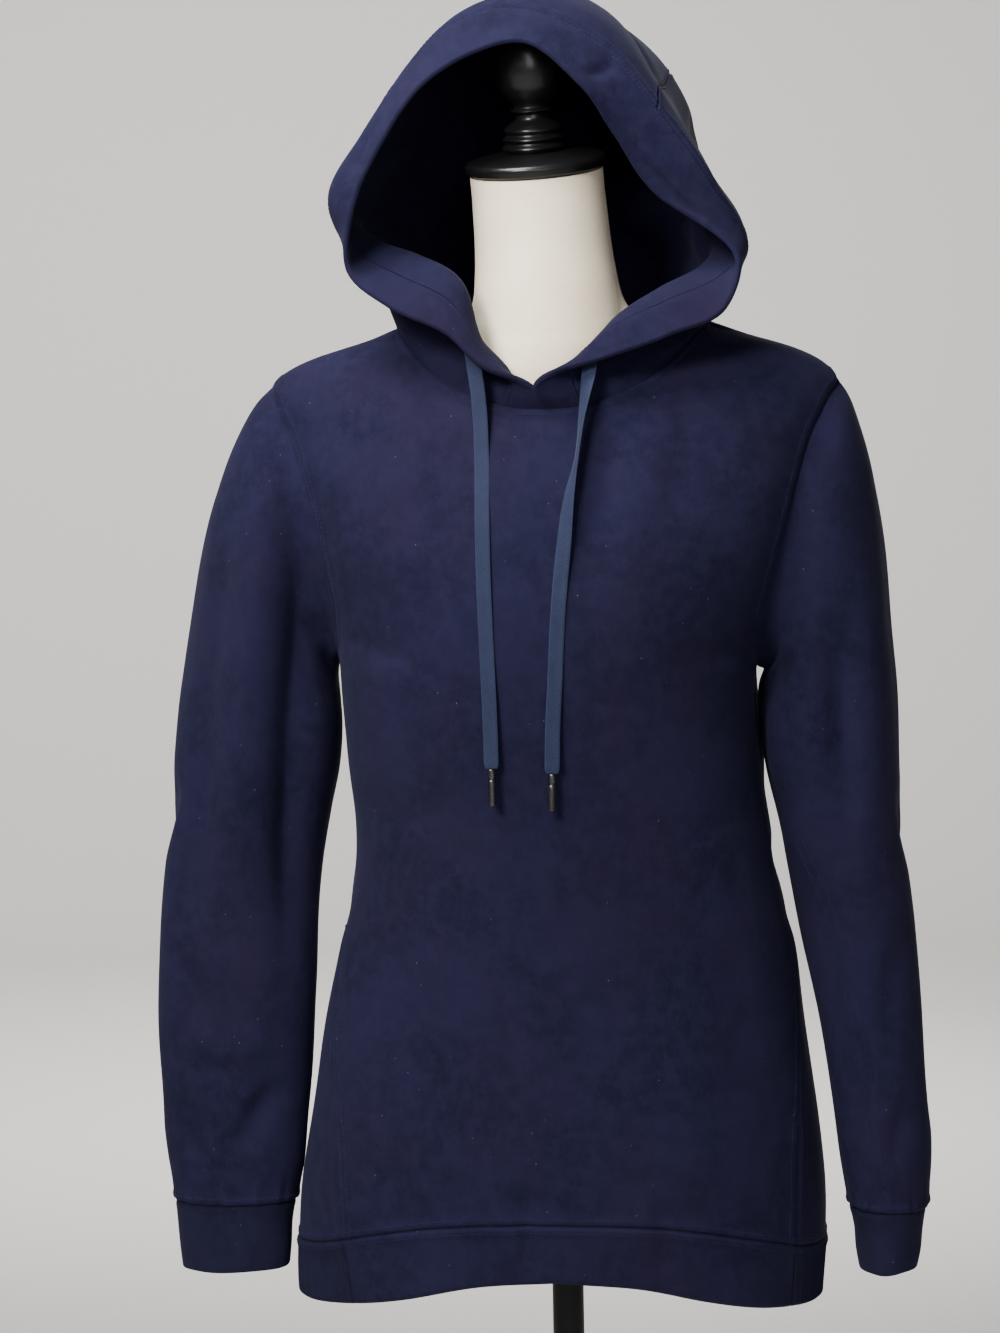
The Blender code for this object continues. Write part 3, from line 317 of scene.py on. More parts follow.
class Seam(Enum):
    """How a piece's edge is sewn: roll of the edge, pressed ridge, and stitch lines."""

    PLAIN = (0.0006, 0.0002, ())
    TWIN = (0.0008, 0.0007, (0.0036,))
    WIDE = (0.0013, 0.0011, (0.0064,))
    RIDGE = (0.0007, 0.0014, (0.0075,))
    TWO_ROWS = (0.0006, 0.0008, (0.0024, 0.0088))
    OPEN_EDGE = (0.0002, 0.0003, (0.0065,))

    @property
    def rows(self) -> tuple[float, ...]:
        """Distances of its rows of stitches from the edge."""
        return self.value[2]

    def lift(self, distance: Array) -> Array:
        """Height of the cloth at a distance from this seam."""
        roll, ridge, rows = self.value
        total = -roll * np.exp(-((distance / 0.0017) ** 2))
        reach = max(rows) if rows else 0.004
        total = total + ridge * smooth(distance, 0.0002, 0.0018) * (1 - smooth(distance, reach, reach + 0.0025))
        for row in rows:
            total = total - 0.00060 * np.exp(-(((distance - row) / 0.0010) ** 2))
        return total


# ---------------------------------------------------------------- meshes

def quad_grid(rows: int, columns: int, wrap: bool, start: int = 0) -> Array:
    """Corner numbers of the quads of a grid of vertices.

    Args:
        rows: number of rows of vertices.
        columns: number of columns of vertices.
        wrap: whether the columns close into a ring.
        start: number of the grid's first vertex.

    Returns:
        Array of four numbers for each quad.
    """
    across = np.arange(columns if wrap else columns - 1)
    up = np.arange(rows - 1)[:, None]
    after = (across + 1) % columns
    corners = (up * columns + across, up * columns + after,
               (up + 1) * columns + after, (up + 1) * columns + across)
    return start + np.stack(corners, axis=-1).reshape(-1, 4)


def put(name: str, data: bpy.types.ID) -> bpy.types.Object:
    """A new object with this data, linked to the scene."""
    item = bpy.data.objects.new(name, data)
    bpy.context.scene.collection.objects.link(item)
    return item


def enclosed(points: Array, faces: list) -> float:
    """Six times the volume inside faces, below 0 where they look inwards."""
    centred = points - points.mean(axis=0)
    fans = np.array([(face[0], face[k], face[k + 1]) for face in faces for k in range(1, len(face) - 1)])
    a, b, c = (centred[fans[:, k]] for k in range(3))
    return float((np.cross(b, c) * a).sum())


def lay_cloth(mesh: bpy.types.Mesh, uv: Array) -> None:
    """Write each vertex's two cloth coordinates, in metres, into the mesh."""
    layer = mesh.uv_layers.get("cloth") or mesh.uv_layers.new(name="cloth")
    loops = np.empty(len(mesh.loops), dtype=np.int32)
    mesh.loops.foreach_get("vertex_index", loops)
    layer.data.foreach_set("uv", uv[loops].astype(np.float32).ravel())


def build_mesh(name: str, points: Array, faces: list, uv: Array | None = None,
               sharp: float = 50.0) -> bpy.types.Object:
    """Make a smooth-shaded object whose faces look outwards.

    Args:
        name: the piece's name.
        points: vertex places.
        faces: corner numbers of each face.
        uv: two cloth coordinates in metres for each vertex.
        sharp: angle in degrees from which an edge stays sharp.

    Returns:
        The new object, linked to the scene.
    """
    mesh = bpy.data.meshes.new(name)
    mesh.from_pydata(points.tolist(), [], [list(map(int, face)) for face in faces])
    mesh.validate()
    if enclosed(points, faces) < 0:
        mesh.flip_normals()
    if uv is not None:
        lay_cloth(mesh, uv)
    mesh.shade_smooth()
    mesh.set_sharp_from_angle(angle=math.radians(sharp))
    return put(name, mesh)


def shell(name: str, outer: Array, inner: Array, wrap: bool = False) -> bpy.types.Object:
    """A thin closed shell between an outer and an inner grid.

    Args:
        name: the piece's name.
        outer: outer grid of points.
        inner: inner grid of points, of the same shape.
        wrap: whether the columns close into a ring.

    Returns:
        The new object.
    """
    rows, columns = outer.shape[:2]
    count = rows * columns
    faces = [quad_grid(rows, columns, wrap), quad_grid(rows, columns, wrap, count)[:, ::-1]]
    across = np.arange(columns if wrap else columns - 1)
    after = (across + 1) % columns
    for row, turn in ((0, 1), (rows - 1, -1)):
        a, b = row * columns + across, row * columns + after
        faces.append(np.stack((b, a, a + count, b + count), axis=-1)[:, ::turn])
    if not wrap:
        up = np.arange(rows - 1)
        for column, turn in ((0, 1), (columns - 1, -1)):
            a, b = up * columns + column, (up + 1) * columns + column
            faces.append(np.stack((a, b, b + count, a + count), axis=-1)[:, ::turn])
    uv = cloth_coordinates(outer)
    points = np.concatenate((outer.reshape(-1, 3), inner.reshape(-1, 3)))
    return build_mesh(name, points, list(np.concatenate(faces)), np.concatenate((uv, uv)))


def cloth_coordinates(grid: Array) -> Array:
    """Two coordinates in metres for each point of a grid: across and along."""
    across = run_length(grid, axis=1)
    across = across - across[:, across.shape[1] // 2:across.shape[1] // 2 + 1]
    return np.stack((across, run_length(grid, axis=0)), axis=-1).reshape(-1, 2)


def lapped(points: Array, wrap: bool = False) -> Array:
    """A grid whose border runs on a little past its seams, so that they are closed."""
    moved = points.copy()
    moved[0] -= unit(points[1] - points[0]) * SEAM_LAP
    moved[-1] -= unit(points[-2] - points[-1]) * SEAM_LAP
    if not wrap:
        moved[:, 0] -= unit(points[:, 1] - points[:, 0]) * SEAM_LAP
        moved[:, -1] -= unit(points[:, -2] - points[:, -1]) * SEAM_LAP
    return moved


def turned(name: str, profile: Array, start: Array, axis: Array, sides: int = 96) -> bpy.types.Object:
    """A piece turned about an axis.

    Args:
        name: the piece's name.
        profile: rows of radius and height up the axis.
        start: the axis's foot.
        axis: its direction.
        sides: number of steps round.

    Returns:
        The new object.
    """
    axis = unit(np.asarray(axis, dtype=float))
    side = unit(np.array((1.0, 0.0, 0.0)) - axis * axis[0])
    other = np.cross(axis, side)
    turn = turns(sides)
    spokes = np.cos(turn)[:, None] * side + np.sin(turn)[:, None] * other
    points = np.asarray(start) + profile[:, 1, None, None] * axis + profile[:, 0, None, None] * spokes
    return capped(name, points)


def capped(name: str, rings: Array) -> bpy.types.Object:
    """A closed body through rings of points, with a flat face at each end."""
    rows, columns = rings.shape[:2]
    faces = [*quad_grid(rows, columns, True)]
    faces.append(np.arange(columns)[::-1])
    faces.append((rows - 1) * columns + np.arange(columns))
    return build_mesh(name, rings.reshape(-1, 3), faces, cloth_coordinates(rings), sharp=35.0)


def rounded_profile(rows: Sequence[tuple[float, float]], steps: int = 10) -> Array:
    """A turned profile made smooth between its rows, which stay where they are."""
    knots = run_length(np.asarray(rows, dtype=float))
    places = np.concatenate([np.linspace(a, b, steps, endpoint=False) for a, b in zip(knots, knots[1:])])
    return Curve(knots, rows, steady=True)(np.append(places, knots[-1]))


def folded_edge(outer: Array, normals: Array, down: Array) -> tuple[Array, Array]:
    """Round a band's lower edge into its fold.

    Args:
        outer: outer grid, seam first.
        normals: directions out of it.
        down: each row's share of the way to the edge.

    Returns:
        The outer and the inner grid, which meet at the middle of the fold.
    """
    half = DOUBLE_CLOTH / 2
    length = run_length(outer)[-1].mean()
    left = np.clip(1 - (1 - down) * length / half, 0.0, 1.0)
    inset = half * (1 - np.sqrt(np.maximum(1 - left ** 2, 0.0)))
    inset[-1] = half * 0.985
    inner = outer - normals * (DOUBLE_CLOTH - inset)[:, None, None]
    return outer - normals * inset[:, None, None], inner


# ---------------------------------------------------------------- stitches

class Thread:
    """Rows of stitches that lie in the cloth, gathered into one piece."""

    RADIUS = 0.00030
    LENGTH = 0.0026
    PITCH = 0.0033
    AHEAD = 0.0008           # how far the line's way is read to either side of a stitch

    def __init__(self, name: str) -> None:
        """Start a piece of stitching with its name."""
        self.name = name
        self.places: list[Array] = []
        self.ways: list[Array] = []
        self.outs: list[Array] = []

    def row(self, points: Array, normals: Array, pitch: float = PITCH) -> None:
        """Sew a row along a line on a surface.

        Args:
            points: the line's points.
            normals: the surface's directions there.
            pitch: distance from one stitch to the next.
        """
        run = run_length(points)
        count = int(run[-1] / pitch)
        if count < 1:
            return
        at = (np.arange(count) + 0.5) * run[-1] / count

        def read(rows: Array, shift: float = 0.0) -> Array:
            """Rows read at the stitches, or a little further on."""
            return np.stack([np.interp(at + shift, run, column) for column in rows.T], axis=-1)

        self.add(read(points), read(points, self.AHEAD) - read(points, -self.AHEAD), read(normals))

    def seam(self, grid: Array, normals: Array, border: Border, seam: Seam, part: slice = slice(None)) -> None:
        """Sew a seam's rows of stitches along a border of a piece.

        Args:
            grid: the piece's grid of points.
            normals: its directions out.
            border: the border that is sewn.
            seam: how it is sewn.
            part: the stretch of the border.
        """
        for distance in seam.rows:
            self.row(border.inset(grid, grid, distance)[part], border.inset(grid, normals, distance)[part])

    def bar(self, centre: Array, way: Array, out: Array, length: float = 0.009) -> None:
        """Sew a dense bar of cross stitches that locks a seam's end."""
        across = np.cross(out, way)
        for k in np.linspace(-0.5, 0.5, 11):
            self.add((centre + way * k * length - out * 0.0007)[None], (across + way * 0.25)[None], out[None])

    def add(self, places: Array, ways: Array, outs: Array) -> None:
        """Add single stitches: their middles, directions and ways out of the cloth."""
        self.places.append(places)
        self.ways.append(unit(ways))
        self.outs.append(unit(outs))

    def build(self) -> bpy.types.Object:
        """Make the piece."""
        places, ways, outs = (np.concatenate(rows) for rows in (self.places, self.ways, self.outs))
        sides = unit(np.cross(ways, outs))
        outs = np.cross(sides, ways)
        ring = turns(5)
        template = [(-0.5, 0.0, 0.0)]
        for shift, size in ((-0.40, 0.75), (0.0, 1.0), (0.40, 0.75)):
            template += [(shift, math.cos(t) * size, math.sin(t) * size) for t in ring]
        template.append((0.5, 0.0, 0.0))
        template = np.array(template)
        sag = (0.25 - template[:, 0] ** 2) * self.RADIUS
        local = (template[:, 0, None] * self.LENGTH * ways[:, None] +
                 template[:, 1, None] * self.RADIUS * sides[:, None] +
                 (template[:, 2] * self.RADIUS + sag)[:, None] * outs[:, None])
        points = (places[:, None] + local).reshape(-1, 3)
        faces = []
        each = [(0, 1 + (k + 1) % 5, 1 + k) for k in range(5)]
        each += [(16, 11 + k, 11 + (k + 1) % 5) for k in range(5)]
        quads = [(1 + 5 * j + k, 1 + 5 * j + (k + 1) % 5, 6 + 5 * j + (k + 1) % 5, 6 + 5 * j + k)
                 for j in range(2) for k in range(5)]
        for first in range(0, len(places) * 17, 17):
            faces += [tuple(first + c for c in face) for face in each]
            faces += [tuple(first + c for c in face) for face in quads]
        return build_mesh(self.name, points, faces, sharp=80.0)


class Border(Enum):
    """An edge of a grid of points."""

    BOTTOM = "bottom"
    TOP = "top"
    LEFT = "left"
    RIGHT = "right"

    def first(self, grid: Array) -> Array:
        """The grid turned so that this border is its first row."""
        if self is Border.BOTTOM:
            return grid
        if self is Border.TOP:
            return grid[::-1]
        across = np.swapaxes(grid, 0, 1)
        return across if self is Border.LEFT else across[::-1]

    def distance(self, grid: Array) -> Array:
        """Distance of each grid point from this border, along the grid."""
        run = run_length(self.first(grid))
        if self in (Border.LEFT, Border.RIGHT):
            return (run if self is Border.LEFT else run[::-1]).T
        return run if self is Border.BOTTOM else run[::-1]

    def inset(self, grid: Array, values: Array, distance: float) -> Array:
        """Values read along a line that keeps its distance from this border."""
        run, rows = run_length(self.first(grid)), self.first(values)
        k = np.clip((run < distance).sum(axis=0), 1, len(run) - 1)
        column = np.arange(run.shape[1])
        low, high = run[k - 1, column], run[k, column]
        t = ((distance - low) / np.maximum(high - low, 1e-9))[:, None]
        return rows[k - 1, column] * (1 - t) + rows[k, column] * t


# ---------------------------------------------------------------- the torso's surface

class TorsoRow(NamedTuple):
    """A level section of the worn body: half widths and depths from the stand's axis."""

    height: float
    left: float
    right: float
    front: float
    back: float


class SeamRow(NamedTuple):
    """Where the side seams run: degrees round from the centre front."""

    height: float
    left: float
    right: float


class HemRow(NamedTuple):
    """Heights of the hem seam and the hem's edge, by degrees from the centre front."""

    angle: float
    seam: float
    edge: float


class ArmholeRow(NamedTuple):
    """Where the panels end at the armhole, by the share of its rise."""

    rise: float
    front: float
    back: float


class NeckRow(NamedTuple):
    """A point of the neck seam: distance from the centre line, and height."""

    across: float
    height: float


@dataclass(frozen=True)
class Side:
    """What differs between the two sides of the garment."""

    name: str
    sign: int
    armpit: float
    shoulder_tip: float
    shoulder_angle: float


LEFT = Side("left", -1, 1.158, 1.374, 90.0)
RIGHT = Side("right", 1, 1.148, 1.368, 84.0)


@dataclass
class Torso:
    """The outer surface of the body's cloth, and the seam lines that lie on it."""

    power: float = 2.3
    neck_top: float = 1.4120
    shoulder_share: float = 3 / 16      # of a panel's columns that end on one shoulder
    sections: tuple[TorsoRow, ...] = (
        TorsoRow(0.630, 0.206, 0.196, 0.123, 0.105), TorsoRow(0.666, 0.209, 0.199, 0.126, 0.108),
        TorsoRow(0.705, 0.209, 0.200, 0.127, 0.110), TorsoRow(0.740, 0.207, 0.200, 0.127, 0.111),
        TorsoRow(0.790, 0.200, 0.197, 0.125, 0.109), TorsoRow(0.840, 0.192, 0.191, 0.122, 0.104),
        TorsoRow(0.890, 0.183, 0.185, 0.119, 0.096), TorsoRow(0.940, 0.172, 0.179, 0.118, 0.089),
        TorsoRow(0.985, 0.161, 0.168, 0.119, 0.086), TorsoRow(1.030, 0.158, 0.162, 0.122, 0.087),
        TorsoRow(1.080, 0.163, 0.155, 0.127, 0.092), TorsoRow(1.125, 0.166, 0.151, 0.131, 0.098),
        TorsoRow(1.160, 0.168, 0.155, 0.133, 0.103), TorsoRow(1.200, 0.175, 0.168, 0.132, 0.108),
        TorsoRow(1.250, 0.191, 0.188, 0.124, 0.112), TorsoRow(1.300, 0.206, 0.204, 0.108, 0.113),
        TorsoRow(1.330, 0.213, 0.211, 0.095, 0.111), TorsoRow(1.352, 0.218, 0.216, 0.083, 0.107),
        TorsoRow(1.370, 0.217, 0.215, 0.069, 0.099), TorsoRow(1.381, 0.206, 0.204, 0.059, 0.091),
        TorsoRow(1.391, 0.184, 0.183, 0.049, 0.081), TorsoRow(1.401, 0.149, 0.151, 0.038, 0.070),
        TorsoRow(1.410, 0.122, 0.124, 0.028, 0.058), TorsoRow(1.420, 0.100, 0.102, 0.016, 0.044))
    side_seams: tuple[SeamRow, ...] = (
        SeamRow(0.640, 43.0, 57.0), SeamRow(0.730, 49.0, 60.0), SeamRow(0.800, 55.0, 64.0),
        SeamRow(0.866, 65.0, 73.0), SeamRow(0.935, 77.0, 82.0), SeamRow(1.010, 85.0, 87.0),
        SeamRow(1.100, 89.0, 89.5), SeamRow(1.200, 90.0, 90.0))
    hem: tuple[HemRow, ...] = (
        HemRow(0.0, 0.7460, 0.7040), HemRow(15.0, 0.7440, 0.6980), HemRow(30.0, 0.7370, 0.6865),
        HemRow(45.0, 0.7270, 0.6770), HemRow(60.0, 0.7170, 0.6710), HemRow(75.0, 0.7110, 0.6670),
        HemRow(90.0, 0.7080, 0.6645), HemRow(120.0, 0.7050, 0.6590), HemRow(180.0, 0.7040, 0.6560))
    armhole: tuple[ArmholeRow, ...] = (
        ArmholeRow(0.000, 90.0, 90.0), ArmholeRow(0.045, 80.0, 99.0), ArmholeRow(0.160, 70.0, 108.0),
        ArmholeRow(0.330, 65.5, 113.0), ArmholeRow(0.670, 64.5, 114.0), ArmholeRow(0.830, 69.0, 110.0),
        ArmholeRow(0.945, 78.0, 102.0), ArmholeRow(1.000, 90.0, 90.0))
    neck_front: tuple[NeckRow, ...] = (
        NeckRow(0.000, 1.3430), NeckRow(0.022, 1.3440), NeckRow(0.042, 1.3495), NeckRow(0.062, 1.3575),
        NeckRow(0.080, 1.3685), NeckRow(0.094, 1.3810), NeckRow(0.106, 1.3940), NeckRow(0.1145, 1.4060),
        NeckRow(0.117, 1.4120))
    neck_back: tuple[NeckRow, ...] = (
        NeckRow(0.000, 1.3980), NeckRow(0.035, 1.3985), NeckRow(0.065, 1.4000), NeckRow(0.090, 1.4030),
        NeckRow(0.107, 1.4070), NeckRow(0.1145, 1.4100), NeckRow(0.117, 1.4120))

    def point(self, rows: Array) -> Array:
        """Points on the surface.

        Args:
            rows: array whose last axis is an angle in radians and a height.

        Returns:
            Array of points of the same shape, with three coordinates.
        """
        angle, height = rows[..., 0], rows[..., 1]
        left, right, front, back = along(self.sections, height)
        sine, cosine = np.sin(angle), np.cos(angle)
        width = np.where(sine > 0, right, left)
        depth = np.where(cosine > 0, front, back)
        x = width * signed_power(sine, 2 / self.power)
        y = -depth * signed_power(cosine, 2 / self.power)
        return np.stack((x, y, height), axis=-1)

    def normal(self, rows: Array) -> Array:
        """Directions straight out of the surface at rows of angle and height."""
        turn, rise = np.array((0.004, 0.0)), np.array((0.0, 0.0015))
        round_way = self.point(rows + turn) - self.point(rows - turn)
        return unit(np.cross(round_way, self.point(rows + rise) - self.point(rows - rise)))

    def angle_across(self, across: Array, height: Array, behind: bool = False) -> Array:
        """Angles at which sections reach a distance from the centre line.

        Args:
            across: distances, to the right above 0.
            height: heights of the sections.
            behind: whether the back of the section is meant.

        Returns:
            Angles in radians; on the back they run on past the centre back.
        """
        left, right = along(self.sections, height)[:2]
        width = np.where(across > 0, right, left)
        share = np.minimum(np.abs(across) / width, 1.0) ** (self.power / 2)
        angle = np.copysign(np.arcsin(share), across)
        return math.pi - angle if behind else angle

    def hem_heights(self, angle: Array) -> list[Array]:
        """Heights of the hem seam and of the hem's edge at angles."""
        return along(self.hem, np.degrees(np.arccos(np.clip(np.cos(angle), -1, 1))))

    def side_seam(self, side: Side, height: Array) -> Array:
        """Angles of a side seam at heights."""
        left, right = along(self.side_seams, height)
        return np.radians(right if side.sign > 0 else left) * side.sign

    def hem_end(self, side: Side, edge: bool = False) -> float:
        """Height where a side seam meets the hem seam, or the hem's edge."""
        height = self.hem[0].seam
        for _ in range(6):
            height = float(self.hem_heights(self.side_seam(side, height))[1 if edge else 0])
        return height

    def side_seam_edge(self, side: Side, share: Array) -> Array:
        """Rows up a side seam, from the hem seam to the armpit."""
        bottom = self.hem_end(side)

        def curve(t: Array) -> Array:
            """Rows at shares of the rise."""
            height = bottom + (side.armpit - bottom) * t
            return np.stack((self.side_seam(side, height), height), axis=-1)

        return evenly(curve, self.point)(share)

    def armhole_edge(self, side: Side, behind: bool, share: Array) -> Array:
        """Rows up the front or the back of an armhole, from armpit to shoulder tip."""
        def curve(t: Array) -> Array:
            """Rows at shares of the rise."""
            front, back = along(self.armhole, t)
            height = side.armpit + (side.shoulder_tip - side.armpit) * t
            return np.stack((np.radians(back if behind else front) * side.sign, height), axis=-1)

        rows = evenly(curve, self.point, crowding=1.35)(share)
        foot = float(self.side_seam(side, side.armpit))
        tip = math.radians(side.shoulder_angle) * side.sign
        near_foot, near_tip = 1 - smooth(share, 0.0, 0.05), smooth(share, 0.90, 1.0)
        rows[..., 0] += (foot - math.radians(90) * side.sign) * near_foot
        rows[..., 0] += (tip - math.radians(90) * side.sign) * near_tip
        return rows

    def neck_edge(self, side: Side, behind: bool, share: Array) -> Array:
        """Rows along half the neck seam, from the shoulder to the centre."""
        rows = self.neck_back if behind else self.neck_front
        curve_through = Curve(np.linspace(0, 1, len(rows)), rows)

        def curve(t: Array) -> Array:
            """Rows at shares of the table, from its end back to its start."""
            across, height = np.moveaxis(curve_through(1 - t), -1, 0)
            angle = self.angle_across(side.sign * np.maximum(across, 1e-6), height, behind)
            return np.stack((angle, height), axis=-1)

        rows = evenly(curve, self.point)(share)
        tip = self.shoulder_angle(side, behind)
        near = 1 - smooth(share, 0.0, 0.15)
        rows[..., 0] += (tip - evenly(curve, self.point)(np.array([0.0]))[0, 0]) * near
        return rows

    def shoulder_angle(self, side: Side, behind: bool) -> float:
        """Angle of a shoulder seam, on from the centre back for the back panel."""
        angle = math.radians(side.shoulder_angle) * side.sign
        return angle + 2 * math.pi if behind and side.sign < 0 else angle

    def shoulder_edge(self, side: Side, behind: bool, share: Array) -> Array:
        """Rows along a shoulder seam, from the tip to the neck."""
        height = side.shoulder_tip + (self.neck_top - side.shoulder_tip) * share
        return np.stack((np.full_like(height, self.shoulder_angle(side, behind)), height), axis=-1)

    def top_edge(self, behind: bool, share: Array) -> Array:
        """Rows along a panel's top: shoulder, neck and shoulder, from left to right."""
        part = self.shoulder_share
        rows = []
        for at in share:
            side, place = (LEFT, at) if at <= 0.5 else (RIGHT, 1 - at)
            if place <= part:
                rows.append(self.shoulder_edge(side, behind, np.array([place / part]))[0])
            else:
                rows.append(self.neck_edge(side, behind, np.array([(place - part) / (0.5 - part)]))[0])
        return np.array(rows)


def fill(bottom: Array, top: Array, left: Array, right: Array, across: Array) -> Array:
    """A grid of rows of number pairs that blends four edges, rows going up."""
    across = across[:, None]
    heights = left[:, 1] + right[:, 1]
    up = ((heights - heights[0]) / (heights[-1] - heights[0]))[:, None, None]
    between = (1 - across) * left[:, None] + across * right[:, None]
    ends = (1 - up) * bottom + up * top
    corners = (1 - across) * ((1 - up) * left[0] + up * left[-1])
    corners = corners + across * ((1 - up) * right[0] + up * right[-1])
    return between + ends - corners


# ---------------------------------------------------------------- body and hem

FRONT_FOLDS = (
    (Face.FRONT, Fold(((-0.118, 1.352), (-0.108, 1.300), (-0.097, 1.235)), -0.0038, 0.0164, -0.35)),
    (Face.FRONT, Fold(((-0.102, 1.350), (-0.092, 1.300), (-0.084, 1.225)), 0.0023, 0.0126, 0.2)),
    (Face.FRONT, Fold(((-0.084, 1.352), (-0.078, 1.300), (-0.072, 1.225)), -0.0032, 0.0133, -0.3)),
    (Face.FRONT, Fold(((0.052, 1.342), (0.040, 1.280), (0.020, 1.205)), -0.0036, 0.0164, 0.4)),
    (Face.FRONT, Fold(((0.076, 1.336), (0.066, 1.280), (0.052, 1.215)), 0.0020, 0.0177, 0.1)),
    (Face.FRONT, Fold(((0.112, 1.345), (0.103, 1.300), (0.088, 1.250)), -0.0020, 0.0152, 0.2)),
    (Face.FRONT, Fold(((-0.172, 1.330), (-0.150, 1.262), (-0.143, 1.190)), 0.0030, 0.0190, 0.1)),
    (Face.FRONT, Fold(((0.172, 1.315), (0.151, 1.245), (0.138, 1.180)), 0.0027, 0.0190, -0.1)),
    (Face.FRONT, Fold(((-0.160, 1.182), (-0.128, 1.166), (-0.088, 1.160)), -0.0029, 0.0121, 0.3)),
    (Face.FRONT, Fold(((0.150, 1.166), (0.118, 1.156), (0.080, 1.156)), -0.0026, 0.0121, -0.3)),
    (Face.FRONT, Fold(((-0.080, 1.090), (-0.081, 1.040), (-0.078, 0.985)), -0.0013, 0.0133, 0.2)),
    (Face.FRONT, Fold(((-0.150, 1.062), (-0.110, 1.046), (-0.060, 1.052)), -0.0015, 0.0145, 0.2)),
    (Face.FRONT, Fold(((0.150, 1.050), (0.105, 1.032), (0.052, 1.042)), -0.0015, 0.0145, -0.2)),
    (Face.FRONT, Fold(((-0.129, 0.968), (-0.136, 0.920), (-0.146, 0.872)), -0.0019, 0.0121, 0.2)),
    (Face.FRONT, Fold(((-0.044, 0.935), (-0.036, 0.865), (-0.022, 0.785)), -0.0017, 0.0145, -0.2)),
    (Face.FRONT, Fold(((-0.018, 0.935), (-0.008, 0.865), (0.006, 0.790)), 0.0013, 0.0157, 0.0)),
    (Face.FRONT, Fold(((0.042, 0.945), (0.046, 0.900), (0.050, 0.845)), -0.0015, 0.0133, 0.2)),
    (Face.FRONT, Fold(((-0.088, 0.875), (-0.090, 0.840), (-0.094, 0.795)), -0.0013, 0.0116, 0.1)),
    (Face.FRONT, Fold(((0.098, 0.870), (0.099, 0.815), (0.098, 0.762)), 0.0018, 0.0194, 0.0)),
    (Face.FRONT, Fold(((0.128, 0.960), (0.136, 0.905), (0.146, 0.850)), -0.0017, 0.0133, -0.2)),
    (Face.FRONT, Fold(((-0.023, 0.775), (-0.022, 0.735), (-0.023, 0.705)), -0.0035, 0.0066, 0.0, 0.25)),
    (Face.FRONT, Fold(((0.075, 0.765), (0.078, 0.735), (0.080, 0.705)), -0.0018, 0.0088, 0.1, 0.25)),
    (Face.FRONT, Fold(((-0.098, 0.760), (-0.100, 0.725), (-0.101, 0.695)), -0.0019, 0.0088, 0.1, 0.25)),
)
BACK_FOLDS = (
    (Face.BACK, Fold(((-0.165, 1.320), (-0.142, 1.250), (-0.134, 1.175)), 0.0047, 0.0165, 0.1)),
    (Face.BACK, Fold(((0.165, 1.315), (0.141, 1.240), (0.130, 1.165)), 0.0044, 0.0165, -0.1)),
    (Face.BACK, Fold(((-0.100, 1.375), (-0.060, 1.352), (0.000, 1.345)), -0.0031, 0.0132, 0.1)),
    (Face.BACK, Fold(((0.100, 1.372), (0.062, 1.352), (0.010, 1.348)), -0.0029, 0.0132, -0.1)),
    (Face.BACK, Fold(((-0.140, 1.060), (-0.080, 1.030), (-0.005, 1.038)), -0.0060, 0.0143, 0.2)),
    (Face.BACK, Fold(((0.142, 1.052), (0.085, 1.022), (0.012, 1.030)), -0.0055, 0.0143, -0.2)),
    (Face.BACK, Fold(((-0.130, 1.015), (-0.070, 0.990), (0.030, 0.996)), 0.0042, 0.0143, 0.1)),
    (Face.BACK, Fold(((-0.135, 0.985), (-0.065, 0.958), (0.040, 0.962)), -0.0049, 0.0132, 0.2)),
    (Face.BACK, Fold(((0.145, 0.985), (0.095, 0.962), (0.050, 0.965)), -0.0039, 0.0121, -0.2)),
    (Face.BACK, Fold(((-0.060, 0.925), (-0.066, 0.850), (-0.074, 0.765)), -0.0036, 0.0143, 0.2)),
    (Face.BACK, Fold(((0.030, 0.915), (0.036, 0.850), (0.046, 0.770)), -0.0034, 0.0154, -0.2)),
    (Face.BACK, Fold(((0.105, 0.905), (0.114, 0.840), (0.120, 0.765)), 0.0031, 0.0154, 0.0)),
    (Face.BACK, Fold(((-0.120, 0.900), (-0.128, 0.830), (-0.134, 0.760)), 0.0031, 0.0154, 0.0)),
    (Face.BACK, Fold(((0.004, 1.300), (-0.004, 1.220), (0.002, 1.130)), -0.0023, 0.0176, 0.1)),
    (Face.LEFT, Fold(((0.060, 1.040), (0.020, 1.010), (-0.030, 1.016)), -0.0044, 0.0121, 0.1)),
    (Face.LEFT, Fold(((0.055, 0.985), (0.010, 0.960), (-0.040, 0.968)), -0.0034, 0.0121, 0.1)),
    (Face.RIGHT, Fold(((0.020, 1.160), (0.018, 1.100), (0.016, 1.045)), 0.0050, 0.0160, 0.0)),
    (Face.RIGHT, Fold(((0.060, 1.030), (0.020, 1.002), (-0.030, 1.008)), -0.0042, 0.0121, 0.1)),
    (Face.RIGHT, Fold(((0.055, 0.978), (0.010, 0.955), (-0.040, 0.962)), -0.0014, 0.0121, 0.1)),
)
BODY_FOLDS = FRONT_FOLDS + BACK_FOLDS


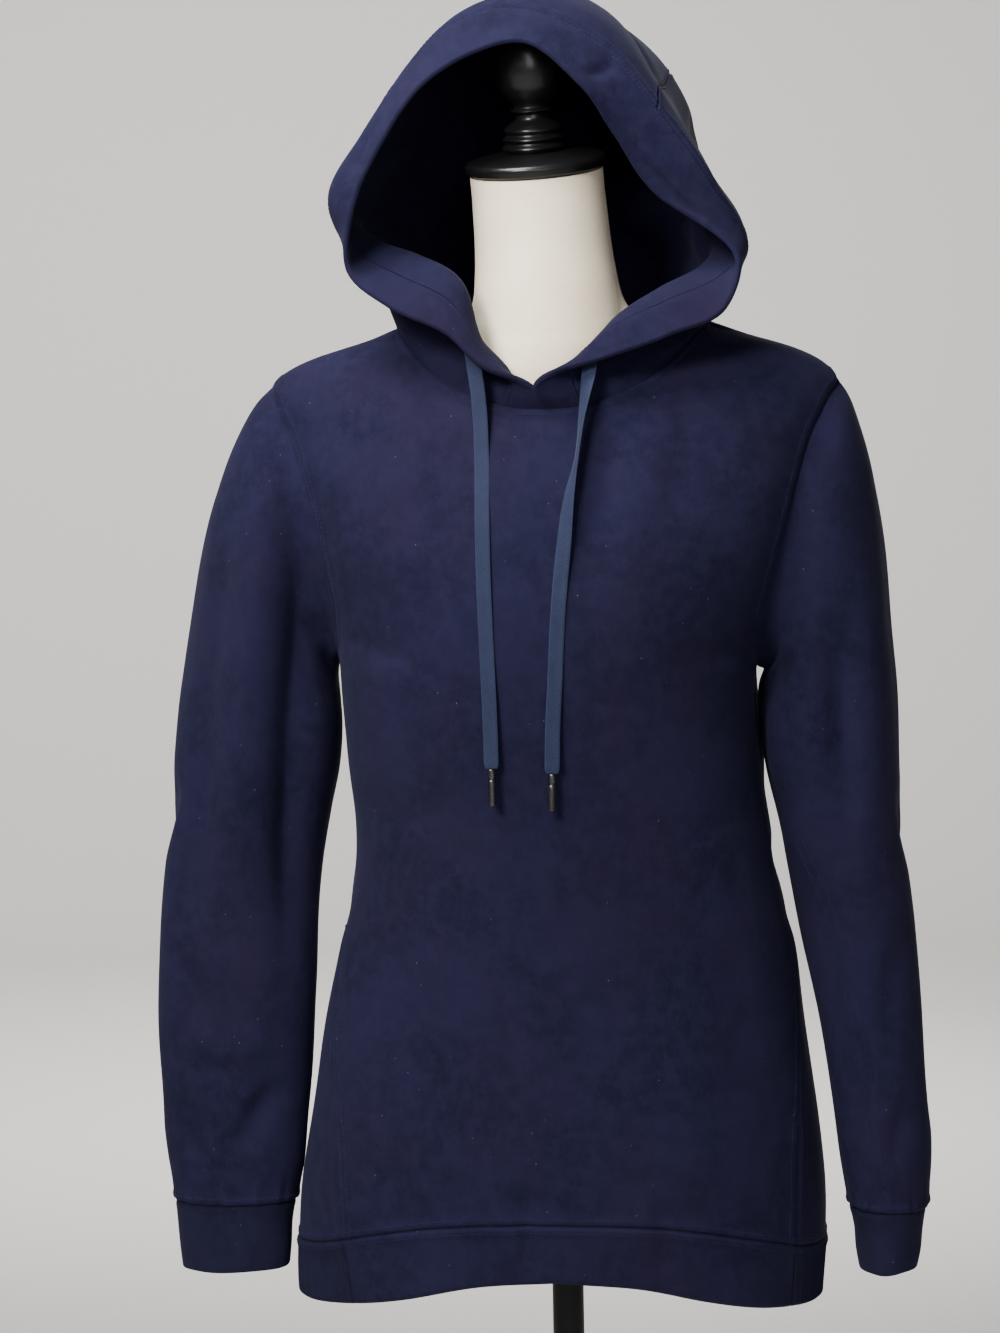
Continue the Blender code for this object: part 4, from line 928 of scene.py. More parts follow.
@dataclass
class Body:
    """The front and back panels and the hem band below them."""

    torso: Torso
    columns: int = 112
    lower_rows: int = 90
    upper_rows: int = 64
    pocket: tuple[float, float] = (0.808, 0.950)      # heights of the openings in the side seams
    panel_flat: dict[str, tuple[float, float]] = field(
        default_factory=lambda: {"front": (0.46, 0.71), "back": (0.54, 0.72)})
    panel_area: dict[str, float] = field(default_factory=lambda: {"front": 0.265, "back": 0.345})
    back_seam: float = math.radians(118)
    thread: Thread = field(default_factory=lambda: Thread("body_stitching"))

    def panel_rows(self, behind: bool) -> tuple[Array, int]:
        """Surface rows of a panel's grid, and the grid row at the armpits."""
        torso = self.torso
        part = torso.shoulder_share
        across = graded(self.columns, 0.41, breaks=(part, 0.5, 1 - part))
        low_share = graded(self.lower_rows, 0.45, high=False)
        seams = [torso.side_seam_edge(side, low_share) for side in (LEFT, RIGHT)]
        armpits = [float(torso.side_seam(side, side.armpit)) for side in (LEFT, RIGHT)]
        if behind:
            seams[0][:, 0] += 2 * math.pi
            armpits[0] += 2 * math.pi
        angles = seams[0][0, 0] + (seams[1][0, 0] - seams[0][0, 0]) * across
        bottom = np.stack((angles, torso.hem_heights(angles)[0]), axis=-1)
        chest = np.stack((armpits[0] + (armpits[1] - armpits[0]) * across,
                          LEFT.armpit + (RIGHT.armpit - LEFT.armpit) * across), axis=-1)
        lower = fill(bottom, chest, *seams, across)
        high_share = graded(self.upper_rows, 0.25, low=False)
        edges = []
        for side in (LEFT, RIGHT):
            rows = torso.armhole_edge(side, behind, high_share)
            if behind and side is LEFT:
                rows[:, 0] += 2 * math.pi
            edges.append(rows)
        top = torso.top_edge(behind, across)
        flat = [np.stack((torso.point(rows)[..., 0], rows[..., 1]), axis=-1) for rows in (chest, top, *edges)]
        upper = fill(*flat, across)
        rows = np.stack((torso.angle_across(upper[..., 0], upper[..., 1], behind), upper[..., 1]), axis=-1)
        rows[:, 0], rows[:, -1], rows[-1] = edges[0], edges[1], top
        return np.concatenate((lower, rows[1:])), len(lower) - 1

    def seam_lift(self, grid: Array, armpit: int) -> Array:
        """Height that the seams round a panel give its cloth."""
        lift = Seam.WIDE.lift(Border.BOTTOM.distance(grid))
        top = Border.TOP.distance(grid)
        share = np.linspace(0, 1, grid.shape[1])
        neck = smooth(np.minimum(share, 1 - share), 0.17, 0.21)
        lift = lift + Seam.RIDGE.lift(top) * neck + Seam.PLAIN.lift(top) * (1 - neck)
        low = np.arange(len(grid))[:, None] <= armpit
        z = grid[..., 2]
        opening = smooth(z, self.pocket[0] - 0.006, self.pocket[0] + 0.020)
        opening = opening * (1 - smooth(z, self.pocket[1] - 0.034, self.pocket[1] + 0.012))
        below = 1 - smooth(z, self.pocket[0] - 0.006, self.pocket[0])
        for border in (Border.LEFT, Border.RIGHT):
            away = border.distance(grid)
            seam = Seam.PLAIN.lift(away) * (1 - opening) * (1 - below)
            seam = seam + Seam.TWO_ROWS.lift(away) * below + Seam.OPEN_EDGE.lift(away) * opening
            lift = lift + np.where(low, seam, Seam.TWO_ROWS.lift(away))
        return lift

    def panel(self, behind: bool) -> bpy.types.Object:
        """Make the front or the back panel and sew its edges."""
        rows, armpit = self.panel_rows(behind)
        points, normals = self.torso.point(rows), self.torso.normal(rows)
        points = lapped(points)
        lift = folded(points, normals, BODY_FOLDS) + drift(points, 0.0011, 0.4)
        lift = lift * smooth(Border.TOP.distance(points), 0.0, 0.02)
        outer = points + normals * (lift + self.seam_lift(points, armpit))[..., None]
        out = outward_normals(outer, normals)
        inner = points + normals * (lift - FLEECE)[..., None]
        side_name = "back" if behind else "front"
        item = shell(f"{side_name}_panel", outer, inner)
        self.sew_panel(outer, out, armpit, behind)
        return item

    def sew_panel(self, outer: Array, out: Array, armpit: int, behind: bool) -> None:
        """Sew the rows of stitches beside a panel's seams."""
        count = outer.shape[1]
        edge = round(count * 0.2)
        sew = self.thread.seam
        sew(outer, out, Border.BOTTOM, Seam.WIDE, slice(3, -3))
        sew(outer, out, Border.TOP, Seam.RIDGE, slice(edge, count - edge))
        for border in (Border.LEFT, Border.RIGHT):
            sew(outer, out, border, Seam.TWO_ROWS, slice(armpit + 4, -2))
        if behind:
            return
        for border in (Border.LEFT, Border.RIGHT):
            heights = border.first(outer)[0][:, 2]
            low = int((heights < self.pocket[0]).sum())
            high = int((heights < self.pocket[1]).sum())
            sew(outer, out, border, Seam.TWO_ROWS, slice(2, low))
            sew(outer, out, border, Seam.OPEN_EDGE, slice(low, high))
            for row in (low, high):
                place = border.inset(outer, outer, 0.0050)
                way = unit(border.first(outer)[3][row] - border.first(outer)[0][row])
                self.thread.bar(place[row], way, border.inset(outer, out, 0.0050)[row])

    def band(self, name: str, start: Array, end: Array, ribs: int,
             ) -> bpy.types.Object:
        """Make a stretch of the folded hem band.

        Args:
            name: the piece's name.
            start: angles of its left end, at the seam and at the edge.
            end: angles of its right end.
            ribs: number of ribs, or 0 for plain cloth.

        Returns:
            The new object.
        """
        torso = self.torso
        steps = ribs * 4 if ribs else int(240 * abs(end[0] - start[0]) / math.pi)
        across = graded(steps, abs(end[0] - start[0]) * 0.17)
        down = graded(20, 0.045, low=True, high=False)
        first = start[0] + (start[1] - start[0]) * down
        last = end[0] + (end[1] - end[0]) * down
        angle = first[:, None] + (last - first)[:, None] * across
        seam, edge = torso.hem_heights(angle)
        rows = np.stack((angle, seam + (edge - seam) * down[:, None]), axis=-1)
        points, normals = torso.point(rows), torso.normal(rows)
        points = lapped(points)
        lift = folded(points, normals, BODY_FOLDS) + drift(points, 0.0014, 0.4) + 0.0006
        lift = lift + Seam.WIDE.lift(Border.BOTTOM.distance(points))
        for border in (Border.LEFT, Border.RIGHT):
            lift = lift - 0.0007 * np.exp(-((border.distance(points) / 0.0018) ** 2))
        if ribs:
            wave = np.cos(across * ribs * 2 * math.pi)
            lift = lift + 0.00042 * wave * smooth(down, 0.02, 0.12)[:, None]
        # The front of the hem waves a little where nothing holds it.
        lift = lift + 0.0016 * np.sin(points[..., 0] * 52 + 0.8) * smooth(down)[:, None]
        outer = points + normals * lift[..., None]
        outer, inner = folded_edge(outer, normals, down)
        item = shell(name, outer, inner)
        self.thread.seam(outer, outward_normals(outer, normals), Border.BOTTOM, Seam.WIDE)
        return item

    def build(self) -> dict[str, bpy.types.Object]:
        """Make every piece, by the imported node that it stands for."""
        torso = self.torso
        ends = {side: np.array([float(torso.side_seam(side, torso.hem_end(side))),
                                float(torso.side_seam(side, torso.hem_end(side, edge=True)))])
                for side in (LEFT, RIGHT)}
        back = np.array([self.back_seam] * 2)
        return {
            "body_front": self.panel(behind=False),
            "body_back": self.panel(behind=True),
            "hem_band_front": self.band("hem_front", ends[LEFT], ends[RIGHT], 0),
            "hem_rib_right": self.band("hem_ribbing_right", ends[RIGHT], back, 74),
            "hem_rib_left": self.band("hem_ribbing_left", -back, ends[LEFT], 84),
            "hem_band_back": self.band("hem_back", back, 2 * math.pi - back, 0),
        }


# ---------------------------------------------------------------- sleeves and cuffs

class SleeveRow(NamedTuple):
    """A slanted section of a sleeve, by its outer and its inner point and its depths."""

    outer: float
    outer_height: float
    inner: float
    inner_height: float
    front: float
    back: float
    middle: float


SLEEVES_LEFT: tuple[SleeveRow, ...] = (
    SleeveRow(0.2345, 1.352, 0.1715, 1.153, 0.058, 0.056, 0.0),
    SleeveRow(0.25, 1.322, 0.1725, 1.143, 0.058, 0.055, 0.0),
    SleeveRow(0.264, 1.283, 0.1715, 1.128, 0.057, 0.052, 0.0),
    SleeveRow(0.275, 1.237, 0.1705, 1.105, 0.055, 0.048, 0.0),
    SleeveRow(0.286, 1.185, 0.1725, 1.075, 0.052, 0.045, -0.001),
    SleeveRow(0.295, 1.125, 0.179, 1.042, 0.049, 0.042, -0.002),
    SleeveRow(0.303, 1.06, 0.186, 1.0, 0.045, 0.039, -0.004),
    SleeveRow(0.31, 0.995, 0.1905, 0.955, 0.041, 0.036, -0.006),
    SleeveRow(0.3155, 0.93, 0.1925, 0.908, 0.038, 0.034, -0.009),
    SleeveRow(0.3175, 0.868, 0.1955, 0.856, 0.035, 0.032, -0.011),
    SleeveRow(0.316, 0.812, 0.2, 0.806, 0.033, 0.031, -0.013),
    SleeveRow(0.3115, 0.766, 0.204, 0.764, 0.031, 0.03, -0.015),
    SleeveRow(0.306, 0.7375, 0.21, 0.7375, 0.029, 0.029, -0.016),
)
SLEEVES_RIGHT: tuple[SleeveRow, ...] = (
    SleeveRow(0.229, 1.345, 0.159, 1.144, 0.058, 0.056, 0.0),
    SleeveRow(0.2375, 1.314, 0.157, 1.135, 0.059, 0.055, 0.0),
    SleeveRow(0.245, 1.272, 0.157, 1.119, 0.058, 0.053, 0.0),
    SleeveRow(0.25, 1.225, 0.1585, 1.095, 0.056, 0.05, 0.0),
    SleeveRow(0.254, 1.17, 0.1625, 1.064, 0.054, 0.047, -0.001),
    SleeveRow(0.258, 1.112, 0.169, 1.029, 0.052, 0.045, -0.003),
    SleeveRow(0.2615, 1.05, 0.1755, 0.99, 0.05, 0.043, -0.006),
    SleeveRow(0.2665, 0.987, 0.183, 0.947, 0.047, 0.041, -0.009),
    SleeveRow(0.272, 0.925, 0.191, 0.903, 0.044, 0.039, -0.013),
    SleeveRow(0.276, 0.864, 0.1995, 0.855, 0.041, 0.037, -0.016),
    SleeveRow(0.2795, 0.808, 0.207, 0.804, 0.039, 0.035, -0.019),
    SleeveRow(0.28, 0.764, 0.213, 0.762, 0.037, 0.033, -0.021),
    SleeveRow(0.277, 0.7375, 0.2175, 0.7375, 0.035, 0.032, -0.022),
)
CUFFS_LEFT: tuple[SleeveRow, ...] = (
    SleeveRow(0.305, 0.7365, 0.211, 0.7365, 0.028, 0.028, -0.016),
    SleeveRow(0.3035, 0.72, 0.2135, 0.72, 0.028, 0.028, -0.016),
    SleeveRow(0.3015, 0.702, 0.214, 0.702, 0.028, 0.028, -0.017),
    SleeveRow(0.299, 0.684, 0.215, 0.686, 0.027, 0.027, -0.018),
)
CUFFS_RIGHT: tuple[SleeveRow, ...] = (
    SleeveRow(0.276, 0.7365, 0.2185, 0.7365, 0.034, 0.031, -0.022),
    SleeveRow(0.2735, 0.72, 0.2225, 0.72, 0.033, 0.031, -0.022),
    SleeveRow(0.2715, 0.705, 0.224, 0.703, 0.033, 0.031, -0.023),
    SleeveRow(0.268, 0.6925, 0.2265, 0.6885, 0.032, 0.03, -0.024),
)
RIGHT_SLEEVE_SEAM = ((0.1790, 1.0240), (0.2050, 0.9620), (0.2170, 0.9090), (0.2240, 0.8760), (0.2310, 0.8360),
                     (0.2400, 0.7510))
LEFT_FOLDS = (
    (Face.FRONT, Fold(((-0.218, 1.372), (-0.223, 1.213), (-0.236, 1.115), (-0.248, 1.015), (-0.262, 0.935)),
                      0.0087, 0.0196, 0.1)),
    (Face.FRONT, Fold(((-0.244, 1.310), (-0.269, 1.134), (-0.280, 0.988), (-0.285, 0.905)),
                      -0.0068, 0.0161, -0.1)),
    (Face.FRONT, Fold(((-0.194, 1.305), (-0.192, 1.204), (-0.201, 1.112), (-0.207, 1.012), (-0.208, 0.885)),
                      -0.0108, 0.0138, 0.2)),
    (Face.FRONT, Fold(((-0.190, 1.194), (-0.171, 1.172), (-0.165, 1.122)), -0.0068, 0.0092, 0.2)),
    (Face.FRONT, Fold(((-0.292, 0.935), (-0.272, 0.880), (-0.264, 0.820)), -0.0057, 0.0126, 0.2)),
    (Face.FRONT, Fold(((-0.300, 0.875), (-0.262, 0.858), (-0.218, 0.872)), 0.0038, 0.0138, 0.1)),
    (Face.FRONT, Fold(((-0.256, 0.775), (-0.238, 0.808), (-0.212, 0.840)), -0.0049, 0.0103, -0.2)),
    (Face.FRONT, Fold(((-0.290, 0.830), (-0.286, 0.795), (-0.280, 0.760)), -0.0038, 0.0103, 0.0)),
    (Face.BACK, Fold(((-0.225, 1.330), (-0.238, 1.200), (-0.252, 1.080), (-0.262, 0.960)), -0.0068, 0.0172, 0.1)),
    (Face.BACK, Fold(((-0.250, 1.090), (-0.232, 1.050), (-0.205, 1.035)), -0.0084, 0.0126, 0.2)),
    (Face.BACK, Fold(((-0.262, 1.045), (-0.240, 1.005), (-0.208, 0.992)), -0.0065, 0.0126, -0.2)),
    (Face.BACK, Fold(((-0.280, 0.920), (-0.262, 0.860), (-0.246, 0.790)), -0.0057, 0.0138, 0.1)),
    (Face.LEFT, Fold(((0.018, 1.330), (0.010, 1.180), (-0.004, 1.040)), 0.0049, 0.0184, 0.1)),
    (Face.LEFT, Fold(((-0.024, 1.080), (-0.010, 1.030), (0.018, 1.000)), -0.0049, 0.0126, 0.1)),
    (Face.LEFT, Fold(((0.012, 0.930), (-0.004, 0.860), (-0.014, 0.790)), -0.0046, 0.0126, 0.1)),
)
RIGHT_FOLDS = (
    (Face.FRONT, Fold(((0.186, 1.300), (0.160, 1.193), (0.156, 1.117), (0.163, 1.040)), -0.0051, 0.0126, -0.2)),
    (Face.FRONT, Fold(((0.213, 1.180), (0.217, 1.080), (0.221, 0.985)), -0.0051, 0.0115, -0.3)),
    (Face.FRONT, Fold(((0.198, 1.215), (0.196, 1.130), (0.197, 1.050)), 0.0044, 0.0126, 0.1)),
    (Face.FRONT, Fold(((0.237, 1.240), (0.238, 1.130), (0.241, 1.020)), 0.0037, 0.0138, 0.0)),
    (Face.FRONT, Fold(((0.178, 1.030), (0.200, 0.930), (0.214, 0.860), (0.230, 0.770)), -0.0061, 0.0138, 0.1)),
    (Face.FRONT, Fold(((0.262, 0.960), (0.250, 0.905), (0.252, 0.850)), -0.0041, 0.0126, 0.1)),
    (Face.FRONT, Fold(((0.268, 0.830), (0.254, 0.800), (0.250, 0.765)), -0.0037, 0.0103, 0.1)),
    (Face.FRONT, Fold(((0.175, 1.170), (0.168, 1.140), (0.172, 1.100)), -0.0041, 0.0092, 0.0)),
    (Face.BACK, Fold(((0.222, 1.320), (0.226, 1.190), (0.232, 1.060), (0.236, 0.950)), -0.0061, 0.0172, -0.1)),
    (Face.BACK, Fold(((0.238, 1.080), (0.214, 1.040), (0.186, 1.026)), -0.0071, 0.0126, -0.2)),
    (Face.BACK, Fold(((0.246, 1.030), (0.222, 0.996), (0.194, 0.984)), -0.0054, 0.0126, 0.2)),
    (Face.BACK, Fold(((0.256, 0.910), (0.244, 0.850), (0.238, 0.790)), -0.0048, 0.0138, 0.1)),
    (Face.LEFT, Fold(((0.002, 1.185), (0.002, 1.100), (-0.002, 1.015)), 0.0026, 0.0160, 0.0)),
    (Face.LEFT, Fold(((-0.036, 1.150), (-0.034, 1.100), (-0.030, 1.045)), 0.0075, 0.0150, 0.0)),
    (Face.RIGHT, Fold(((0.018, 1.330), (0.008, 1.180), (-0.006, 1.040)), 0.0041, 0.0184, 0.1)),
    (Face.RIGHT, Fold(((-0.024, 1.060), (-0.012, 1.015), (0.016, 0.990)), -0.0044, 0.0126, 0.1)),
    (Face.RIGHT, Fold(((0.010, 0.930), (-0.010, 0.860), (-0.022, 0.790)), -0.0041, 0.0126, 0.1)),
)


@dataclass
class Sleeve:
    """A sleeve and its folded cuff on one side."""

    torso: Torso
    side: Side
    rows: tuple[SleeveRow, ...]
    cuff_rows: tuple[SleeveRow, ...]
    folds: tuple
    thread: Thread
    sides: int = 120
    steps: int = 142
    seam_line: tuple[tuple[float, float], ...] = ()
    flat: tuple[float, float] = (0.38, 0.64)
    area: float = 0.168
    cuff_flat: tuple[float, float] = (0.22, 0.050)

    def ring(self, row: SleeveRow, sides: int) -> Array:
        """Points round a section: underarm, front, outer side, back."""
        sign = self.side.sign
        outer = np.array((sign * row.outer, row.middle, row.outer_height))
        inner = np.array((sign * row.inner, row.middle, row.inner_height))
        turn = turns(sides)
        out, forward = signed_power(-np.cos(turn), 0.92), signed_power(np.sin(turn), 0.92)
        depth = np.where(forward > 0, row.front, row.back)
        points = (outer + inner) / 2 + out[:, None] * (outer - inner) / 2
        points[:, 1] -= forward * depth
        return points

    def armhole(self) -> tuple[Array, Array]:
        """The armhole's seam line as a ring, and the wall's direction along it."""
        torso, side = self.torso, self.side
        share = np.linspace(0, 1, self.sides // 2 + 1)
        front = torso.armhole_edge(side, False, share)
        back = torso.armhole_edge(side, True, share)[::-1]
        rows = np.concatenate((front[:-1], back[:-1]))
        points, normals = torso.point(rows), torso.normal(rows)
        tangent = unit(np.roll(points, -1, axis=0) - np.roll(points, 1, axis=0))
        inward = unit(np.cross(tangent, normals))
        wrong = ((points.mean(axis=0) - points) * inward).sum(axis=-1) < 0
        inward[wrong] *= -1
        k = np.arange(len(rows))
        away = np.minimum(k, len(rows) - k) / (self.sides // 2)
        standing = np.maximum(0.0, 1 - away / 0.45)[:, None]
        return points, unit(normals * (1 - standing) - inward * standing)

    def surface(self, rings: list[Array], count: int) -> Array:
        """A fine grid of points through rings, along their length."""
        rings = np.array(rings)
        knots = run_length(rings).mean(axis=1)
        places = graded(count, knots[-1]) * knots[-1]
        return Curve(knots, rings)(places)

    def sleeve(self) -> bpy.types.Object:
        """Make the sleeve."""
        seam, first = self.armhole()
        rings = [self.ring(row, self.sides) for row in self.rows]
        grid = self.surface([seam] + rings, self.steps)
        grid = lapped(grid, wrap=True)
        normals = outward_normals(grid, grid - grid.mean(axis=1, keepdims=True), wrap=True)
        top, foot = Border.BOTTOM.distance(grid), Border.TOP.distance(grid)
        lift = folded(grid, normals, self.folds) + drift(grid, 0.0012, 1.9 + self.side.sign)
        lift = lift * smooth(top, 0.0, 0.03) * smooth(foot, 0.0, 0.02)
        turn = turns(self.sides)
        pucker = np.sin(turn * 17 + 0.7) + 0.6 * np.sin(turn * 29 + self.side.sign)
        lift = lift + 0.0005 * pucker * np.exp(-((foot - 0.007) / 0.012) ** 2)
        lift = lift + Seam.PLAIN.lift(top) + Seam.WIDE.lift(foot)
        near = (1 - smooth(top, 0.0, 0.03))[..., None]
        inward = unit(normals * (1 - near) + first * near)
        outer = grid + normals * lift[..., None]
        inner = grid + normals * (lift * (1 - near[..., 0]))[..., None] - inward * FLEECE
        item = shell(f"{self.side.name}_sleeve", outer, inner, wrap=True)
        self.sew(outer, outward_normals(outer, normals, wrap=True))
        return item

    def sew(self, outer: Array, out: Array) -> None:
        """Sew the row above the cuff and the double row down the sleeve's seam."""
        closed = (np.concatenate((values, values[:, :1]), axis=1) for values in (outer, out))
        self.thread.seam(*closed, Border.TOP, Seam.WIDE)
        if not self.seam_line:
            return
        line = Curve(run_length(np.array(self.seam_line)), self.seam_line)
        x, z = np.moveaxis(line(np.linspace(0, line.knots[-1], 90)), -1, 0)
        facing = out[..., 1] < -0.05
        places = outer[facing]
        for shift in (-0.0032, 0.0032):
            near = [int(np.argmin((places[:, 0] - a - shift) ** 2 + (places[:, 2] - b) ** 2))
                    for a, b in zip(x, z)]
            flat = np.stack((x + shift, places[near][:, 1], z), axis=-1)
            flat[:, 1] = np.convolve(np.pad(flat[:, 1], 4, mode="edge"), np.ones(9) / 9, mode="valid")
            self.thread.row(flat + out[facing][near] * 0.0002, out[facing][near])

    def cuff(self) -> bpy.types.Object:
        """Make the folded cuff."""
        sides = self.sides
        grid = self.surface([self.ring(row, sides) for row in self.cuff_rows], 26)
        grid = lapped(grid, wrap=True)
        normals = outward_normals(grid, grid - grid.mean(axis=1, keepdims=True), wrap=True)
        run = Border.BOTTOM.distance(grid)
        down = (run / run[-1]).mean(axis=1)
        turn = turns(sides)
        lift = Seam.PLAIN.lift(run) + drift(grid, 0.0014, 0.7 + self.side.sign)
        lift = lift + 0.0008 * np.sin(turn * 5 + self.side.sign) * smooth(down)[:, None]
        outer = grid + normals * lift[..., None]
        outer, inner = folded_edge(outer, normals, down)
        item = shell(f"{self.side.name}_cuff", outer, inner, wrap=True)
        return item

    def build(self) -> dict[str, bpy.types.Object]:
        """Make both pieces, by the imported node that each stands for."""
        name = self.side.name
        return {f"sleeve_{name}": self.sleeve(), f"cuff_{name}": self.cuff()}


# ---------------------------------------------------------------- hood

# The two ends of the edge cross, so that the fronts of the hood close.
HOOD_EDGE = (
    (-0.006, -0.0945, 1.3565), (-0.042, -0.101, 1.371), (-0.073, -0.099, 1.3985), (-0.116, -0.09, 1.42),
    (-0.146, -0.082, 1.448), (-0.14, -0.092, 1.49), (-0.117, -0.094, 1.54), (-0.086, -0.093, 1.58),
    (-0.046, -0.093, 1.603), (-0.01, -0.094, 1.608), (0.028, -0.096, 1.577), (0.053, -0.085, 1.541),
    (0.083, -0.075, 1.498), (0.142, -0.086, 1.447), (0.134, -0.087, 1.415), (0.091, -0.097, 1.393),
    (0.04, -0.101, 1.376), (-0.0085, -0.099, 1.359),
)
HOOD_STITCH = (
    (-0.024, -0.088, 1.36), (-0.046, -0.091, 1.386), (-0.07, -0.087, 1.423), (-0.108, -0.074, 1.444),
    (-0.141, -0.06, 1.464), (-0.159, -0.07, 1.4985), (-0.135, -0.075, 1.546), (-0.101, -0.074, 1.592),
    (-0.062, -0.074, 1.629), (-0.014, -0.075, 1.637), (0.04, -0.079, 1.611), (0.089, -0.082, 1.554),
    (0.125, -0.078, 1.503), (0.147, -0.062, 1.456), (0.128, -0.07, 1.438), (0.087, -0.083, 1.419),
    (0.043, -0.09, 1.397), (0.02, -0.088, 1.364),
)
HOOD_ROLL = (
    (-0.029, -0.081, 1.365), (-0.048, -0.078, 1.396), (-0.063, -0.073, 1.438), (-0.097, -0.058, 1.46),
    (-0.131, -0.042, 1.476), (-0.16, -0.048, 1.502), (-0.135, -0.05, 1.552), (-0.1, -0.048, 1.605),
    (-0.057, -0.048, 1.643), (-0.012, -0.048, 1.655), (0.04, -0.052, 1.634), (0.089, -0.058, 1.574),
    (0.122, -0.056, 1.515), (0.141, -0.038, 1.472), (0.119, -0.052, 1.45), (0.083, -0.069, 1.43),
    (0.045, -0.077, 1.404), (0.027, -0.081, 1.369),
)
HOOD_CHEEK = (
    (-0.128, -0.016, 1.442), (-0.146, -0.006, 1.5), (-0.117, -0.002, 1.572), (-0.066, 0.0, 1.64),
    (-0.006, 0.002, 1.668), (0.052, 0.0, 1.643), (0.096, -0.002, 1.573), (0.116, -0.006, 1.505),
    (0.124, -0.014, 1.448),
)
HOOD_REAR = (
    (-0.116, 0.056, 1.45), (-0.123, 0.07, 1.505), (-0.1, 0.072, 1.57), (-0.054, 0.07, 1.631), (0.0, 0.068, 1.66),
    (0.065, 0.066, 1.641), (0.109, 0.066, 1.578), (0.114, 0.066, 1.515), (0.109, 0.056, 1.452),
)
HOOD_NAPE = (
    (-0.088, 0.098, 1.435), (-0.09, 0.118, 1.48), (-0.074, 0.124, 1.52), (-0.04, 0.126, 1.548),
    (0.0, 0.127, 1.558), (0.042, 0.125, 1.548), (0.076, 0.122, 1.52), (0.09, 0.116, 1.48), (0.088, 0.098, 1.435),
)

CHEEK_SHARES = (0.0, 0.130, 0.235, 0.330, 0.430, 0.510, 0.585, 0.665, 0.748, 0.850, 1.0)
REAR_SHARES = (0.0, 0.110, 0.205, 0.305, 0.410, 0.502, 0.595, 0.695, 0.785, 0.885, 1.0)

CASING_FOLDS = (
    (Face.FRONT, Fold(((-0.075, 1.622), (-0.030, 1.632), (0.012, 1.618), (0.060, 1.583)), 0.0016, 0.0050, 0.0)),
    (Face.FRONT, Fold(((0.030, 1.583), (0.043, 1.586), (0.058, 1.594)), -0.0029, 0.0050, 0.2)),
    (Face.FRONT, Fold(((-0.150, 1.505), (-0.135, 1.530), (-0.118, 1.565)), -0.0021, 0.0060, 0.1)),
    (Face.FRONT, Fold(((0.062, 1.546), (0.073, 1.533), (0.106, 1.495), (0.139, 1.467)), 0.0026, 0.0048, 0.2)),
)
HOOD_FOLDS = (
    Fold(((0.225, 0.070), (0.255, 0.125), (0.250, 0.185)), -0.0044, 0.0150, 0.2),
    Fold(((0.300, 0.065), (0.330, 0.120), (0.325, 0.170)), 0.0036, 0.0150, 0.0),
    Fold(((0.630, 0.070), (0.600, 0.125), (0.606, 0.190)), -0.0044, 0.0150, -0.2),
    Fold(((0.560, 0.060), (0.520, 0.095), (0.470, 0.110)), -0.0034, 0.0110, 0.2),
    Fold(((0.110, 0.100), (0.160, 0.170), (0.190, 0.240)), -0.0052, 0.0140, 0.2),
    Fold(((0.745, 0.100), (0.695, 0.175), (0.660, 0.240)), -0.0052, 0.0140, -0.2),
    Fold(((0.150, 0.250), (0.260, 0.282), (0.380, 0.292)), -0.0060, 0.0130, 0.1),
    Fold(((0.700, 0.250), (0.590, 0.284), (0.470, 0.296)), -0.0055, 0.0130, -0.1),
    Fold(((0.200, 0.285), (0.330, 0.312), (0.420, 0.314)), 0.0039, 0.0120, 0.1),
    Fold(((0.430, 0.150), (0.420, 0.200), (0.432, 0.250)), -0.0026, 0.0140, 0.0),
)


